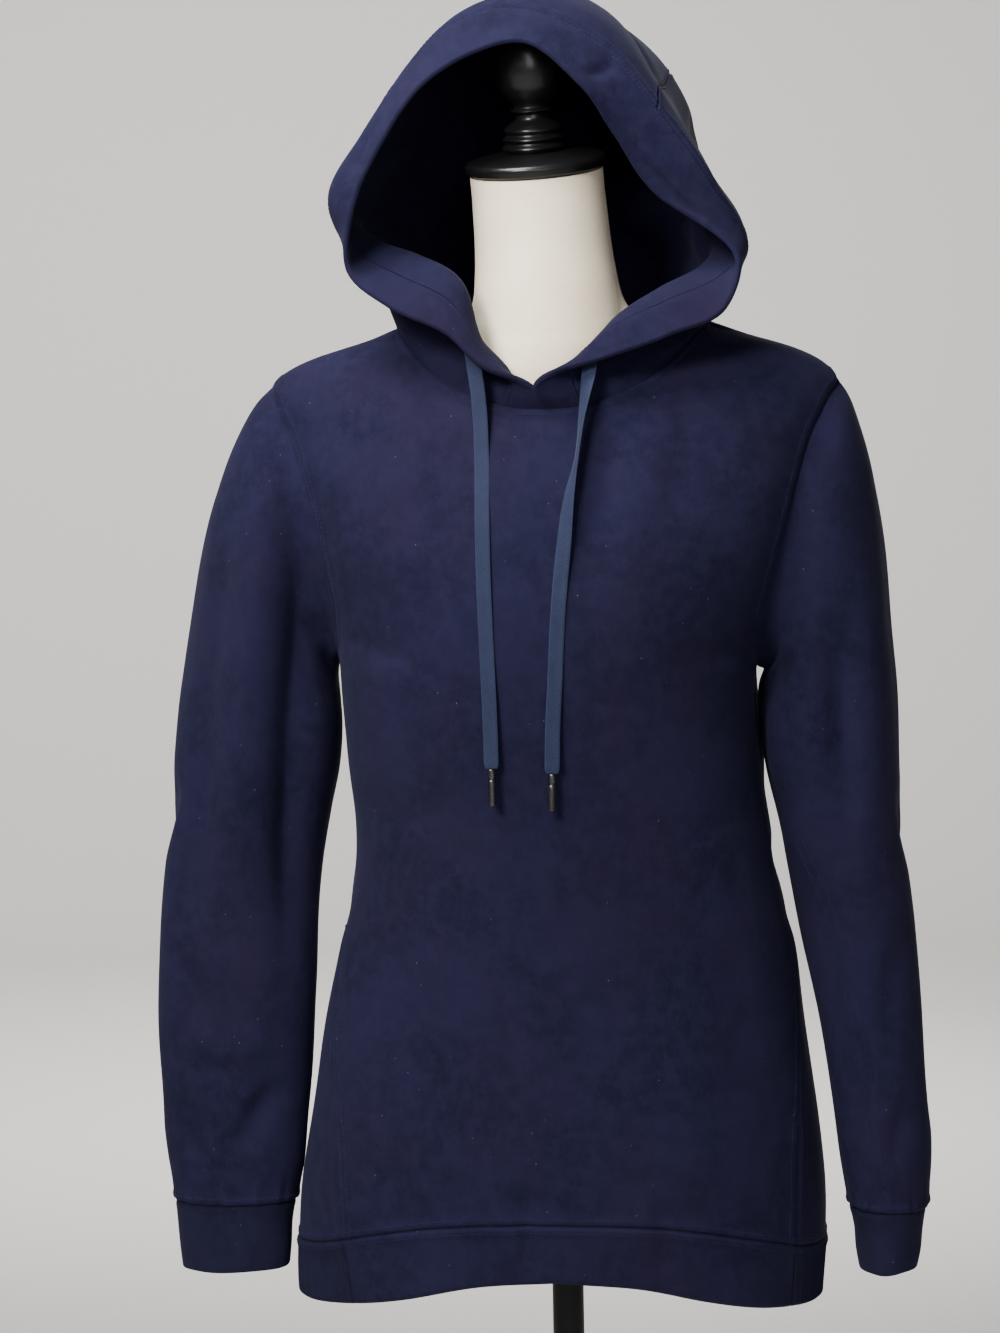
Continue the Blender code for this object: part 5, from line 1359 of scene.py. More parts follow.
@dataclass
class Hood:
    """The hood: a cord casing round its opening, a centre panel and two side panels."""

    torso: Torso
    thread: Thread
    positions: tuple[float, ...] = (0.000, 0.085, 0.150, 0.270, 0.480, 0.720, 1.000)
    feet: tuple[float, ...] = (0.000, 0.085, 0.130, 0.480, 0.680, 0.790, 0.860)
    centre: float = 0.145        # half the centre panel's width, as a share of a hoop
    seat: float = 0.10           # share of a hoop over which its ends are led to the seam
    toward: tuple[float, float, float] = (0.000, -0.010, 1.400)
    panel_rows: int = 92
    casing_columns: int = 280
    flats: dict[str, tuple[float, float]] = field(default_factory=lambda: {
        "casing": (0.031, 0.84), "centre": (0.26, 0.32), "side_left": (0.30, 0.30), "side_right": (0.30, 0.30)})
    areas: dict[str, float] = field(default_factory=lambda: {
        "casing": 0.026, "centre": 0.069, "side_left": 0.056, "side_right": 0.056})

    def __post_init__(self) -> None:
        """Set up the neck seam on both sides and the hoops that stand on it."""
        self.seams = {side.sign: self.neck_seam(side) for side in (LEFT, RIGHT)}
        tables = (HOOD_EDGE, HOOD_STITCH, HOOD_ROLL, HOOD_CHEEK, HOOD_REAR, HOOD_NAPE)
        hoops = [np.array([self.seam(-1, foot)[0], *table, self.seam(1, foot)[0]])
                 for table, foot in zip(tables, self.feet)]
        shares = np.linspace(self.feet[-1], 1.0, 5)
        back = [self.seam(-1, share)[0] for share in shares]
        back += [self.seam(1, share)[0] for share in shares[-2::-1]]
        hoops.append(np.array(back))
        runs = [run_length(hoop) for hoop in hoops]
        stitch, nape, seam = (runs[k] / runs[k][-1] for k in (1, 5, 6))
        knots = (stitch, stitch, stitch, CHEEK_SHARES, REAR_SHARES, nape, seam)
        self.hoops = [Curve(places, hoop) for places, hoop in zip(knots, hoops)]

    def neck_seam(self, side: Side) -> tuple[Array, Array]:
        """Half the neck seam, centre front to centre back.

        Args:
            side: the half that is meant.

        Returns:
            Shares of its length, and for each the place, the direction out of the
            body's cloth and the direction into the neck opening.
        """
        share = np.linspace(0, 1, 13)
        rows = np.concatenate((self.torso.neck_edge(side, False, share)[::-1],
                               self.torso.neck_edge(side, True, share)[1:]))
        places, outs = self.torso.point(rows), self.torso.normal(rows)
        tangent = np.gradient(places, axis=0)
        tangent[[0, -1], 1:] = 0.0
        ways = unit(np.cross(tangent, outs))
        ways[((np.array(self.toward) - places) * ways).sum(axis=-1) < 0] *= -1
        run = run_length(places)
        return run / run[-1], np.stack((places, outs, ways), axis=1)

    def seam(self, sign: int, share: Array | float) -> Array:
        """Place, way out and way into the opening at shares of half the neck seam."""
        knots, values = self.seams[sign]
        flat = [np.interp(share, knots, column) for column in values.reshape(len(knots), -1).T]
        values = np.moveaxis(np.array(flat), 0, -1).reshape(np.shape(share) + (3, 3))
        return np.moveaxis(values, -2, 0)

    def raw(self, across: Array, behind: Array) -> Array:
        """Grid of points: rows go behind, columns go across along the hoops."""
        stations = np.array([hoop(across) for hoop in self.hoops])
        return Curve(self.positions, stations, steady=True)(behind)

    def seated(self, across: Array, behind: Array) -> Array:
        """The same grid with its two ends set on the neck seam."""
        grid = self.raw(across, behind)
        feet = Curve(self.positions, np.array(self.feet))(behind)
        ends = self.raw(np.array((0.0, 1.0)), behind)
        for k, sign in enumerate((-1, 1)):
            near = np.clip(1 - np.abs(across - k) / self.seat, 0, 1)
            miss = self.seam(sign, feet)[0] - ends[:, k]
            grid = grid + miss[:, None] * (near * near * (3 - 2 * near))[:, None]
        return grid

    def normals(self, across: Array, behind: Array) -> Array:
        """Directions out of the hood over a grid."""
        low, high = np.clip(across - 0.006, 0, 1), np.clip(across + 0.006, 0, 1)
        over = self.seated(high, behind) - self.seated(low, behind)
        low, high = np.clip(behind - 0.010, 0, 1), np.clip(behind + 0.010, 0, 1)
        back = self.seated(across, high) - self.seated(across, low)
        return unit(np.cross(over, back))

    def wall(self, across: Array, behind: Array, thickness: Array) -> tuple[Array, Array, Array]:
        """The hood's wall: inside the neck seam's line there, centred on its surface elsewhere.

        Args:
            across: places along the hoops, from 0 at the left front.
            behind: places from the hood's edge to the nape, from 0 to 1.
            thickness: the wall's thickness at each place behind.

        Returns:
            The outer grid, the inner grid and the directions outwards.
        """
        grid, normals = self.seated(across, behind), self.normals(across, behind)
        half = thickness[:, None, None] / 2
        outer, inner = grid + normals * half, grid - normals * half
        feet = Curve(self.positions, np.array(self.feet))(behind)
        for k, sign in enumerate((-1, 1)):
            gap = np.abs(across - k)
            if gap.min() > 1e-9:
                continue
            start, away = self.standing(sign, feet)
            column = int(np.argmin(gap))
            near = (1 - smooth(gap, 0.0, 0.012))[:, None]
            outer = outer + (start - outer[:, column])[:, None] * near
            inner = inner + (start - away * thickness[:, None] - inner[:, column])[:, None] * near
        if behind[-1] > 1 - 1e-9:
            share = self.feet[-1] + (1 - self.feet[-1]) * (1 - np.abs(2 * across - 1))
            sides = [self.standing(sign, share) for sign in (-1, 1)]
            pick = (across < 0.5)[:, None]
            start, away = (np.where(pick, a, b) for a, b in zip(*sides))
            near = (1 - smooth(1 - behind, 0.0, 0.07))[:, None, None]
            outer = outer + (start - outer[-1]) * near
            inner = inner + (start - away * thickness[-1] - inner[-1]) * near
        return outer, inner, normals

    def standing(self, sign: int, share: Array) -> tuple[Array, Array]:
        """Where the hood's outer face stands on the neck seam, and its way out."""
        place, out, way = self.seam(sign, share)
        upright = np.clip((np.asarray(share)[..., None] - 0.15) / 0.35, 0, 1)
        return place - (way + out * 4) * SEAM_LAP, unit(out * (1 - upright) - way * upright)

    def casing(self) -> bpy.types.Object:
        """Make the folded casing that the cord runs in."""
        across = graded(self.casing_columns, 0.85)
        down = graded(24, 0.034)
        behind = self.positions[1] * down
        thickness = DOUBLE_CLOTH - (DOUBLE_CLOTH - FLEECE) * smooth(down, 0.80, 1.0)
        outer, inner, normals = self.wall(across, behind, thickness)
        outer, inner = lapped(outer), lapped(inner)
        place = self.seated(across, behind)
        lift = folded(place, normals, CASING_FOLDS) + drift(place, 0.0010, 2.2)
        lift = lift * (smooth(across, 0.0, 0.03) * (1 - smooth(across, 0.97, 1.0)))
        seam = Seam.TWIN.lift(Border.TOP.distance(place))
        edge = Border.BOTTOM.distance(place)
        round_off = (1 - np.sqrt(np.maximum(1 - np.clip(1 - edge / (DOUBLE_CLOTH / 2), 0, 1) ** 2, 0.0)))
        round_off = np.minimum(round_off, 0.985) * DOUBLE_CLOTH / 2
        ends = smooth(across, 0.0, 0.012) * (1 - smooth(across, 0.988, 1.0))
        round_off = round_off * (0.25 + 0.75 * ends)
        outer = outer + normals * (lift + seam * ends - round_off)[..., None]
        inner = inner + normals * (lift - seam * ends * 0.6 + round_off)[..., None]
        item = shell("hood_cord_casing", outer, inner)
        self.thread.seam(outer, normals, Border.TOP, Seam.TWIN, slice(6, -6))
        self.thread.seam(inner, -normals, Border.TOP, Seam.TWIN, slice(6, -6))
        return item

    def panel(self, part: str, low: float, high: float, columns: int) -> bpy.types.Object:
        """Make one of the three panels behind the casing."""
        length = (high - low) * 0.85
        across = low + (high - low) * graded(columns, length)
        behind = self.positions[1] + (1 - self.positions[1]) * graded(self.panel_rows, 0.33)
        thickness = np.full(len(behind), FLEECE)
        outer, inner, normals = self.wall(across, behind, thickness)
        outer, inner = lapped(outer), lapped(inner)
        place = self.seated(across, behind)
        spread = np.stack(np.meshgrid(across * 0.85, behind * 0.35), axis=-1)
        lift = sum(fold.lift(spread) for fold in HOOD_FOLDS) + drift(place, 0.0014, 2.2)
        clear = smooth(across, 0.0, 0.04) * (1 - smooth(across, 0.96, 1.0))
        lift = lift * clear * (1 - smooth(behind, 0.90, 1.0))[:, None]
        seam = Seam.TWO_ROWS.lift(Border.BOTTOM.distance(place))
        sides = ((Border.LEFT, low > 0), (Border.RIGHT, high < 1))
        for border, inside in sides:
            seam = seam + (Seam.TWIN if inside else Seam.PLAIN).lift(border.distance(place)) * (1 if inside else 0.4)
        outer = outer + normals * (lift + seam)[..., None]
        inner = inner + normals * lift[..., None]
        item = shell({"side_left": "hood_left_side", "side_right": "hood_right_side",
                      "centre": "hood_middle"}[part], outer, inner)
        self.thread.seam(outer, normals, Border.BOTTOM, Seam.TWO_ROWS, slice(1, -1))
        for border, inside in sides:
            if inside:
                self.thread.seam(outer, normals, border, Seam.TWIN, slice(8, -10))
        return item

    def build(self) -> dict[str, bpy.types.Object]:
        """Make every piece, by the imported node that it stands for."""
        low, high = 0.5 - self.centre, 0.5 + self.centre
        return {
            "hood_casing": self.casing(),
            "hood_side_left": self.panel("side_left", 0.0, low, 130),
            "hood_centre": self.panel("centre", low, high, 96),
            "hood_side_right": self.panel("side_right", high, 1.0, 130),
        }


# ---------------------------------------------------------------- drawcords

class CordRow(NamedTuple):
    """A place on a drawcord; none in front means that it lies on the cloth."""

    across: float
    height: float
    front: float | None
    turn: float


CORDS_LEFT: tuple[CordRow, ...] = (
    CordRow(-0.0536, 1.3825, 0.0912, 8.0), CordRow(-0.0522, 1.374, 0.093, 7.0), CordRow(-0.05, 1.36, 0.0958, 5.0),
    CordRow(-0.048, 1.34, 0.0985, 2.0), CordRow(-0.0466, 1.31, None, 0.0), CordRow(-0.0455, 1.26, None, 0.0),
    CordRow(-0.0445, 1.22, None, 0.0), CordRow(-0.0425, 1.16, None, 0.0), CordRow(-0.0415, 1.12, 0.1326, 0.0),
    CordRow(-0.041, 1.082, 0.1318, 0.0),
)
CORDS_RIGHT: tuple[CordRow, ...] = (
    CordRow(0.0318, 1.3655, 0.0965, 20.0), CordRow(0.0305, 1.358, 0.0985, 35.0),
    CordRow(0.0275, 1.34, 0.1015, 58.0), CordRow(0.0235, 1.308, 0.1125, 72.0),
    CordRow(0.0175, 1.276, 0.1215, 42.0), CordRow(0.014, 1.244, 0.128, 14.0), CordRow(0.0095, 1.198, None, 0.0),
    CordRow(0.006, 1.142, 0.1344, 0.0), CordRow(0.004, 1.11, 0.1342, 0.0), CordRow(0.003, 1.078, 0.1334, 0.0),
)


@dataclass
class Drawcord:
    """The free end of the flat woven drawcord on one side, and its metal tip."""

    torso: Torso
    side: Side
    rows: tuple[CordRow, ...]
    hidden: CordRow            # where the tape ends inside the casing
    width: float = 0.011
    thickness: float = 0.0013
    clearance: float = 0.0016
    tip_length: float = 0.027
    tip_radius: float = 0.0029
    steps: int = 150

    def path(self) -> tuple[Array, Array]:
        """Centre points of the tape, and the directions across its width."""
        places = []
        for row in (self.hidden, *self.rows):
            angle = self.torso.angle_across(np.array(row.across), np.array(row.height))
            spot = np.stack((angle, np.array(row.height)), axis=-1)
            normal = self.torso.normal(spot)
            place = self.torso.point(spot) + normal * self.clearance
            if row.front is not None:
                place = np.array((row.across, -row.front, row.height))
            places.append((*place, *normal, math.radians(row.turn)))
        knots = [-row.height for row in (self.hidden, *self.rows)]
        values = Curve(knots, np.array(places))(np.linspace(knots[0], knots[-1], self.steps + 1))
        normals, turn = unit(values[:, 3:6]), values[:, 6:7]
        level = unit(np.cross((0.0, 0.0, 1.0), normals))
        return values[:, :3], level * np.cos(turn) + normals * np.sin(turn)

    def tape(self) -> bpy.types.Object:
        """Make the tape, soft at its edges."""
        points, widths = self.path()
        ahead = unit(np.gradient(points, axis=0))
        depth = unit(np.cross(ahead, widths))
        side = unit(np.cross(depth, ahead))
        turn = turns(24)
        out = signed_power(np.cos(turn), 0.55) * self.width / 2
        up = signed_power(np.sin(turn), 0.75) * self.thickness / 2
        up = up * (1 + 0.10 * np.cos(out * 2 * math.pi / 0.0055))
        rings = points[:, None] + out[:, None] * side[:, None] + up[:, None] * depth[:, None]
        # Both ends close softly: the last rings draw in.
        for k, size in ((0, 0.86), (-1, 0.80), (1, 0.97), (-2, 0.95)):
            rings[k] = points[k] + (rings[k] - points[k]) * size
        run = run_length(points)
        item = capped(f"cord_{self.side.name}", rings)
        along_tape = np.repeat(run[:, None], len(out), axis=1)
        over = np.repeat(out[None], len(points), axis=0)
        lay_cloth(item.data, np.stack((over, along_tape), axis=-1).reshape(-1, 2))
        self.end, self.way, self.length = points[-1], ahead[-1], float(run[-1])
        self.line, self.begin = points[::3], points[0]
        return item

    def tip(self) -> bpy.types.Object:
        """Make the crimped metal tip."""
        size, length = self.tip_radius, self.tip_length
        crimp = length * 0.26
        rows = [(size * 0.80, 0.0), (size * 0.98, 0.0009), (size, crimp - 0.0022), (size * 0.84, crimp - 0.0006),
                (size * 0.84, crimp + 0.0006), (size, crimp + 0.0022), (size, length - 0.0016),
                (size * 0.90, length - 0.0004), (size * 0.62, length)]
        profile = rounded_profile(rows, 6)
        return turned(f"cord_tip_{self.side.name}", profile, self.end + self.way * 0.0004, self.way, 40)

    def build(self) -> dict[str, bpy.types.Object]:
        """Make both pieces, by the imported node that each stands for."""
        tape, tip = self.tape(), self.tip()
        return {f"drawcord_{self.side.name}": tape, f"aglet_{self.side.name}": tip}


# ---------------------------------------------------------------- form and stand

class FormRow(NamedTuple):
    """A level section of the dress form: half width, depths, and its neck's radius."""

    height: float
    width: float
    front: float
    back: float
    neck: float


FORM = (
    FormRow(0.79, 0.128, 0.08, 0.066, 0.01), FormRow(0.793, 0.148, 0.094, 0.079, 0.01),
    FormRow(0.805, 0.16, 0.103, 0.087, 0.01), FormRow(0.85, 0.172, 0.108, 0.091, 0.01),
    FormRow(0.9, 0.168, 0.106, 0.085, 0.01), FormRow(0.96, 0.153, 0.1, 0.077, 0.01),
    FormRow(1.01, 0.146, 0.098, 0.073, 0.01), FormRow(1.07, 0.144, 0.106, 0.079, 0.01),
    FormRow(1.125, 0.14, 0.118, 0.088, 0.01), FormRow(1.18, 0.146, 0.122, 0.096, 0.01),
    FormRow(1.24, 0.16, 0.115, 0.101, 0.01), FormRow(1.3, 0.18, 0.09, 0.104, 0.02),
    FormRow(1.335, 0.192, 0.07, 0.105, 0.04), FormRow(1.356, 0.194, 0.052, 0.1, 0.054),
    FormRow(1.37, 0.184, 0.041, 0.092, 0.059), FormRow(1.381, 0.164, 0.032, 0.082, 0.06),
    FormRow(1.391, 0.134, 0.024, 0.069, 0.06), FormRow(1.402, 0.102, 0.018, 0.054, 0.059),
    FormRow(1.415, 0.07, 0.014, 0.04, 0.0575), FormRow(1.435, 0.045, 0.012, 0.028, 0.0555),
    FormRow(1.465, 0.03, 0.01, 0.018, 0.0525), FormRow(1.51, 0.02, 0.01, 0.012, 0.0505),
)
CAP_PROFILE = (
    (0.0505, 0.0), (0.0535, 0.0025), (0.054, 0.0065), (0.052, 0.0095), (0.04, 0.0125), (0.026, 0.015),
)
FINIAL_PROFILE = (
    (0.0225, 0.0153), (0.0245, 0.0185), (0.0215, 0.022), (0.0235, 0.025), (0.0205, 0.0285), (0.022, 0.0315),
    (0.019, 0.035), (0.013, 0.04), (0.0125, 0.043), (0.016, 0.0455), (0.013, 0.0485), (0.019, 0.056),
    (0.0245, 0.066), (0.0262, 0.077), (0.0245, 0.089), (0.0195, 0.1), (0.011, 0.1075),
)


@dataclass
class Stand:
    """The covered form with its turned neck cap and finial, its pole and its base."""

    power: float = 2.3
    lean_start: float = 1.400
    neck_foot: tuple[float, float, float] = (0.000, -0.010, 1.400)
    neck_top: tuple[float, float, float] = (-0.009, -0.019, 1.5270)
    cap_axis: tuple[float, float, float] = (-0.045, -0.290, 1.000)
    pole_radius: float = 0.0122
    base_radius: float = 0.180
    base_edge: float = 0.010
    base_crown: float = 0.019
    sides: int = 96

    def rings(self, heights: Array) -> Array:
        """Level sections of the form, leaning with the neck."""
        width, front, back, neck = (value[:, None] for value in along(FORM, heights))
        foot, top = np.array(self.neck_foot), np.array(self.neck_top)
        climb = np.clip((heights - self.lean_start) / (top[2] - self.lean_start), 0, None)[:, None]
        centre = foot + (top - foot) * climb
        angle = turns(self.sides)
        across, forward = np.sin(angle), np.cos(angle)
        depth = np.where(forward > 0, front, back)
        body = ((np.abs(across) / width) ** self.power + (np.abs(forward) / depth) ** self.power) ** (-1 / self.power)
        reach = (body ** 9 + neck ** 9) ** (1 / 9)
        x = centre[:, :1] + reach * across
        y = centre[:, 1:2] * np.minimum(1.0, neck / 0.05) - reach * forward
        axis = unit(np.array(self.cap_axis))
        share = np.clip((heights - 1.44) / (top[2] - 1.44), 0, None)[:, None]
        lean = -((x - top[0]) * axis[0] + (y - top[1]) * axis[1]) / axis[2]
        return np.stack((x, y, heights[:, None] + lean * share), axis=-1)

    def build(self) -> dict[str, bpy.types.Object]:
        """Make every piece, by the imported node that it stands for."""
        low, high = FORM[0].height, self.neck_top[2]
        heights = np.unique(np.concatenate((np.linspace(low, 0.81, 16), np.linspace(0.81, 1.33, 56),
                                            np.linspace(1.33, high, 70))))
        body = capped("form_body", self.rings(heights))
        start = np.array(self.neck_top) + unit(np.array(self.cap_axis)) * 0.0006
        up, radius = (0.0, 0.0, 1.0), self.base_radius
        base = [(radius - 0.0022, 0.0), (radius, 0.0020), (radius, self.base_edge - 0.0030),
                (radius - 0.0030, self.base_edge), (radius * 0.45, self.base_edge + 0.0045),
                (self.pole_radius * 1.9, self.base_crown - 0.002), (self.pole_radius * 1.7, self.base_crown)]
        pole = [(self.pole_radius, self.base_crown + 0.0003), (self.pole_radius, low - 0.0003)]
        return {
            "dress_form": body,
            "neck_cap": turned("cap", rounded_profile(CAP_PROFILE), start, self.cap_axis),
            "finial": turned("cap_finial", rounded_profile(FINIAL_PROFILE, 5), start, self.cap_axis),
            "base": turned("stand_base", rounded_profile(base, 5), (0.0, 0.0, 0.0), up, 160),
            "pole": turned("stand_pole", np.array(pole), (0.0, 0.0, 0.0), up, 64),
        }


# ---------------------------------------------------------------- materials

class Signal:
    """A node's output or a plain number, with arithmetic that adds Math nodes."""

    def __init__(self, shop: "Shop", source: bpy.types.NodeSocket | float) -> None:
        """Wrap a socket or a number for use in one material."""
        self.shop = shop
        self.source = source

    def _with(self, operation: str, other: "Signal | float", turned_round: bool = False) -> "Signal":
        """Join this signal and another by a Math node."""
        pair = (other, self) if turned_round else (self, other)
        return self.shop.node("ShaderNodeMath", {"operation": operation}, {0: pair[0], 1: pair[1]})

    def __add__(self, other: "Signal | float") -> "Signal":
        """Sum."""
        return self._with("ADD", other)

    def __radd__(self, other: float) -> "Signal":
        """Sum with a number on the left."""
        return self._with("ADD", other, True)

    def __sub__(self, other: "Signal | float") -> "Signal":
        """Difference."""
        return self._with("SUBTRACT", other)

    def __rsub__(self, other: float) -> "Signal":
        """Difference from a number on the left."""
        return self._with("SUBTRACT", other, True)

    def __mul__(self, other: "Signal | float") -> "Signal":
        """Product."""
        return self._with("MULTIPLY", other)

    def __rmul__(self, other: float) -> "Signal":
        """Product with a number on the left."""
        return self._with("MULTIPLY", other, True)

    def __pow__(self, other: float) -> "Signal":
        """Power."""
        return self._with("POWER", other)

    def sine(self) -> "Signal":
        """Sine of the signal."""
        return self._with("SINE", 0.0)

    def size(self) -> "Signal":
        """Value without its sign."""
        return self._with("ABSOLUTE", 0.0)

    def least(self, other: "Signal | float") -> "Signal":
        """The lower of two."""
        return self._with("MINIMUM", other)


Colour = tuple[float, float, float]


class Shop:
    """One material under construction."""

    def __init__(self, name: str) -> None:
        """Start an empty material with a principled shader."""
        self.material = bpy.data.materials.new(name)
        self.material.use_nodes = True
        self.tree = self.material.node_tree
        self.tree.nodes.clear()
        output = self.tree.nodes.new("ShaderNodeOutputMaterial")
        self.shader = self.tree.nodes.new("ShaderNodeBsdfPrincipled")
        self.tree.links.new(self.shader.outputs["BSDF"], output.inputs["Surface"])

    def node(self, kind: str, settings: dict | None = None, inputs: dict | None = None,
             output: int | str = 0) -> Signal:
        """Add a node.

        Args:
            kind: the node's type.
            settings: its properties, or a colour ramp's stops under "stops".
            inputs: values or signals for its sockets, by name or number.
            output: the output to use.

        Returns:
            The chosen output.
        """
        node = self.tree.nodes.new(kind)
        for key, value in (settings or {}).items():
            if key == "stops":
                ramp = node.color_ramp.elements
                while len(ramp) < len(value):
                    ramp.new(0.5)
                for stop, (place, colour) in zip(ramp, value):
                    stop.position, stop.color = place, colour
            else:
                setattr(node, key, value)
        for key, value in (inputs or {}).items():
            self.feed(node.inputs[key], value)
        return Signal(self, node.outputs[output])

    def feed(self, socket: bpy.types.NodeSocket, value: "Signal | float | Sequence[float]") -> None:
        """Set a socket, or link it where the value is a signal."""
        source = value.source if isinstance(value, Signal) else value
        if isinstance(source, bpy.types.NodeSocket):
            self.tree.links.new(source, socket)
        else:
            socket.default_value = source

    def place(self, scale: float | Colour = 1.0, uv: bool = False) -> Signal:
        """Places in metres times a scale: the object's own, or the cloth's two."""
        spot = self.node("ShaderNodeTexCoord", output="UV" if uv else "Object")
        factors = scale if isinstance(scale, tuple) else (scale,) * 3
        return self.node("ShaderNodeVectorMath", {"operation": "MULTIPLY"}, {0: spot, 1: factors})

    def noise(self, scale: float | Colour, detail: float = 3.0, rough: float = 0.5, warp: float = 0.0,
              uv: bool = False) -> Signal:
        """Cloudy variation between 0 and 1, its scale in lumps to the metre."""
        return self.node("ShaderNodeTexNoise", None, {
            "Vector": self.place(scale, uv), "Scale": 1.0, "Detail": detail, "Roughness": rough,
            "Distortion": warp}, "Fac")

    def ramp(self, signal: Signal, low: float, high: float) -> Signal:
        """A soft step of a signal from 0 at low to 1 at high."""
        return self.node("ShaderNodeMapRange", {"interpolation_type": "SMOOTHSTEP"}, {
            "Value": signal, "From Min": low, "From Max": high}, "Result")

    def mix(self, share: Signal | float, first: Signal | Colour, second: Signal | Colour) -> Signal:
        """Mix two colours by a share."""
        node = self.tree.nodes.new("ShaderNodeMix")
        node.data_type = "RGBA"
        self.feed(node.inputs["Factor"], share)
        for socket, colour in ((node.inputs[6], first), (node.inputs[7], second)):
            self.feed(socket, colour if isinstance(colour, Signal) else (*colour, 1.0))
        return Signal(self, node.outputs[2])

    def bump(self, *layers: tuple[Signal, float]) -> None:
        """Raise the surface by layers of height, each with its depth in metres."""
        normal = None
        for height, depth in layers:
            inputs = {"Height": height, "Distance": depth, "Strength": 1.0}
            if normal is not None:
                inputs["Normal"] = normal
            normal = self.node("ShaderNodeBump", None, inputs)
        self.feed(self.shader.inputs["Normal"], normal)

    def set(self, **values: Signal | float | Colour) -> None:
        """Set sockets of the shader, spaces in their names written as _."""
        for key, value in values.items():
            if isinstance(value, tuple):
                value = (*value, 1.0)
            self.feed(self.shader.inputs[key.replace("_", " ")], value)

    def done(self) -> bpy.types.Material:
        """The finished material."""
        return self.material


@dataclass(frozen=True)
class Fleece:
    """Garment-dyed cotton fleece: fine knit face, soft fuzz, faint uneven dye and lint."""

    name: str = "navy_fleece"
    colour: Colour = (0.0024, 0.0023, 0.0135)
    faded: Colour = (0.0078, 0.0069, 0.0262)
    warm: Colour = (0.0096, 0.0044, 0.0180)
    lint: Colour = (0.20, 0.21, 0.27)
    sheen: float = 0.022
    wales: float = 780.0         # knitted columns to the metre
    fuzz: float = 0.00016

    def dress(self) -> bpy.types.Material:
        """Make the material."""
        shop = Shop(self.name)
        cloud = shop.ramp(shop.noise(15.0, 3.0, 0.60), 0.40, 0.62)
        mottle = shop.ramp(shop.noise(90.0, 5.0, 0.70), 0.40, 0.64)
        nap = shop.ramp(shop.noise((330.0, 330.0, 210.0), 3.0, 0.65), 0.42, 0.66)
        violet = shop.ramp(shop.noise((13.0, 13.0, 7.0), 2.0, 0.5), 0.45, 0.75)
        grain = shop.noise(900.0, 2.0, 0.6)
        colour = shop.mix(cloud * 0.50, self.colour, self.faded)
        colour = shop.mix(mottle * 0.60, colour, self.faded)
        colour = shop.mix(nap * 0.30, colour, self.faded)
        colour = shop.mix(violet * 0.40, colour, self.warm)
        colour = shop.mix(shop.ramp(grain, 0.35, 0.75) * 0.30, colour, self.faded)
        specks = shop.node("ShaderNodeTexVoronoi", {"feature": "F1"}, {
            "Vector": shop.place((190.0, 190.0, 120.0)), "Scale": 1.0, "Randomness": 1.0}, "Distance")
        rare = shop.ramp(shop.noise(150.0, 0.0), 0.66, 0.70)
        lint = (1.0 - shop.ramp(specks, 0.03, 0.09)) * rare
        shop.set(Base_Color=shop.mix(lint * 0.45, colour, self.lint))
        shop.set(Roughness=0.86 + grain * 0.12, Specular_IOR_Level=0.14, Sheen_Weight=self.sheen,
                 Sheen_Roughness=0.45, Sheen_Tint=(0.42, 0.46, 0.80))
        columns = shop.node("ShaderNodeSeparateXYZ", None, {0: shop.place(self.wales, uv=True)}, "X")
        loops = shop.node("ShaderNodeSeparateXYZ", None, {0: shop.place(self.wales * 1.3, uv=True)}, "Y")
        knit = (columns * math.tau).sine() * 0.5 + (loops * math.tau).sine() * 0.25
        shop.bump((knit, 0.00005), (shop.noise(520.0, 5.0, 0.7), self.fuzz), (shop.noise(70.0, 3.0), 0.00045))
        return shop.done()


@dataclass(frozen=True)
class Tape:
    """Flat woven cotton drawcord: a chevron of slanting ribs with plain edges, the rib crests painted lighter as a
    painted highlight.
    """

    name: str = "cord_tape"
    colour: Colour = (0.0072, 0.0108, 0.0310)
    # The lighter navy serves as painted highlight on the rib crests and as real wear.
    light: Colour = (0.0140, 0.0200, 0.0520)
    pitch: float = 0.0016
    width: float = 0.011

    def dress(self) -> bpy.types.Material:
        """Make the material."""
        shop = Shop(self.name)
        across = shop.node("ShaderNodeSeparateXYZ", None, {0: shop.place(1.0, uv=True)}, "X")
        run = shop.node("ShaderNodeSeparateXYZ", None, {0: shop.place(1.0, uv=True)}, "Y")
        slant = (run + across.size() * 0.9) * (math.tau / self.pitch)
        ribs = slant.sine() * 0.5 + 0.5
        wear = shop.ramp(shop.noise(60.0, 3.0), 0.35, 0.70)
        # The rib crests are painted lighter in step with their bump, a painted highlight; the wear noise below is
        # real fading.
        colour = shop.mix(ribs * 0.55, self.colour, self.light)
        colour = shop.mix(wear * 0.35, colour, self.light)
        shop.set(Base_Color=colour, Roughness=0.68 + shop.noise(700.0) * 0.2, Specular_IOR_Level=0.2,
                 Sheen_Weight=0.05, Sheen_Roughness=0.4)
        edge = shop.ramp(across.size(), self.width * 0.40, self.width * 0.46)
        shop.bump((ribs * (1.0 - edge), 0.00022), (shop.noise(1400.0, 2.0), 0.00006))
        return shop.done()


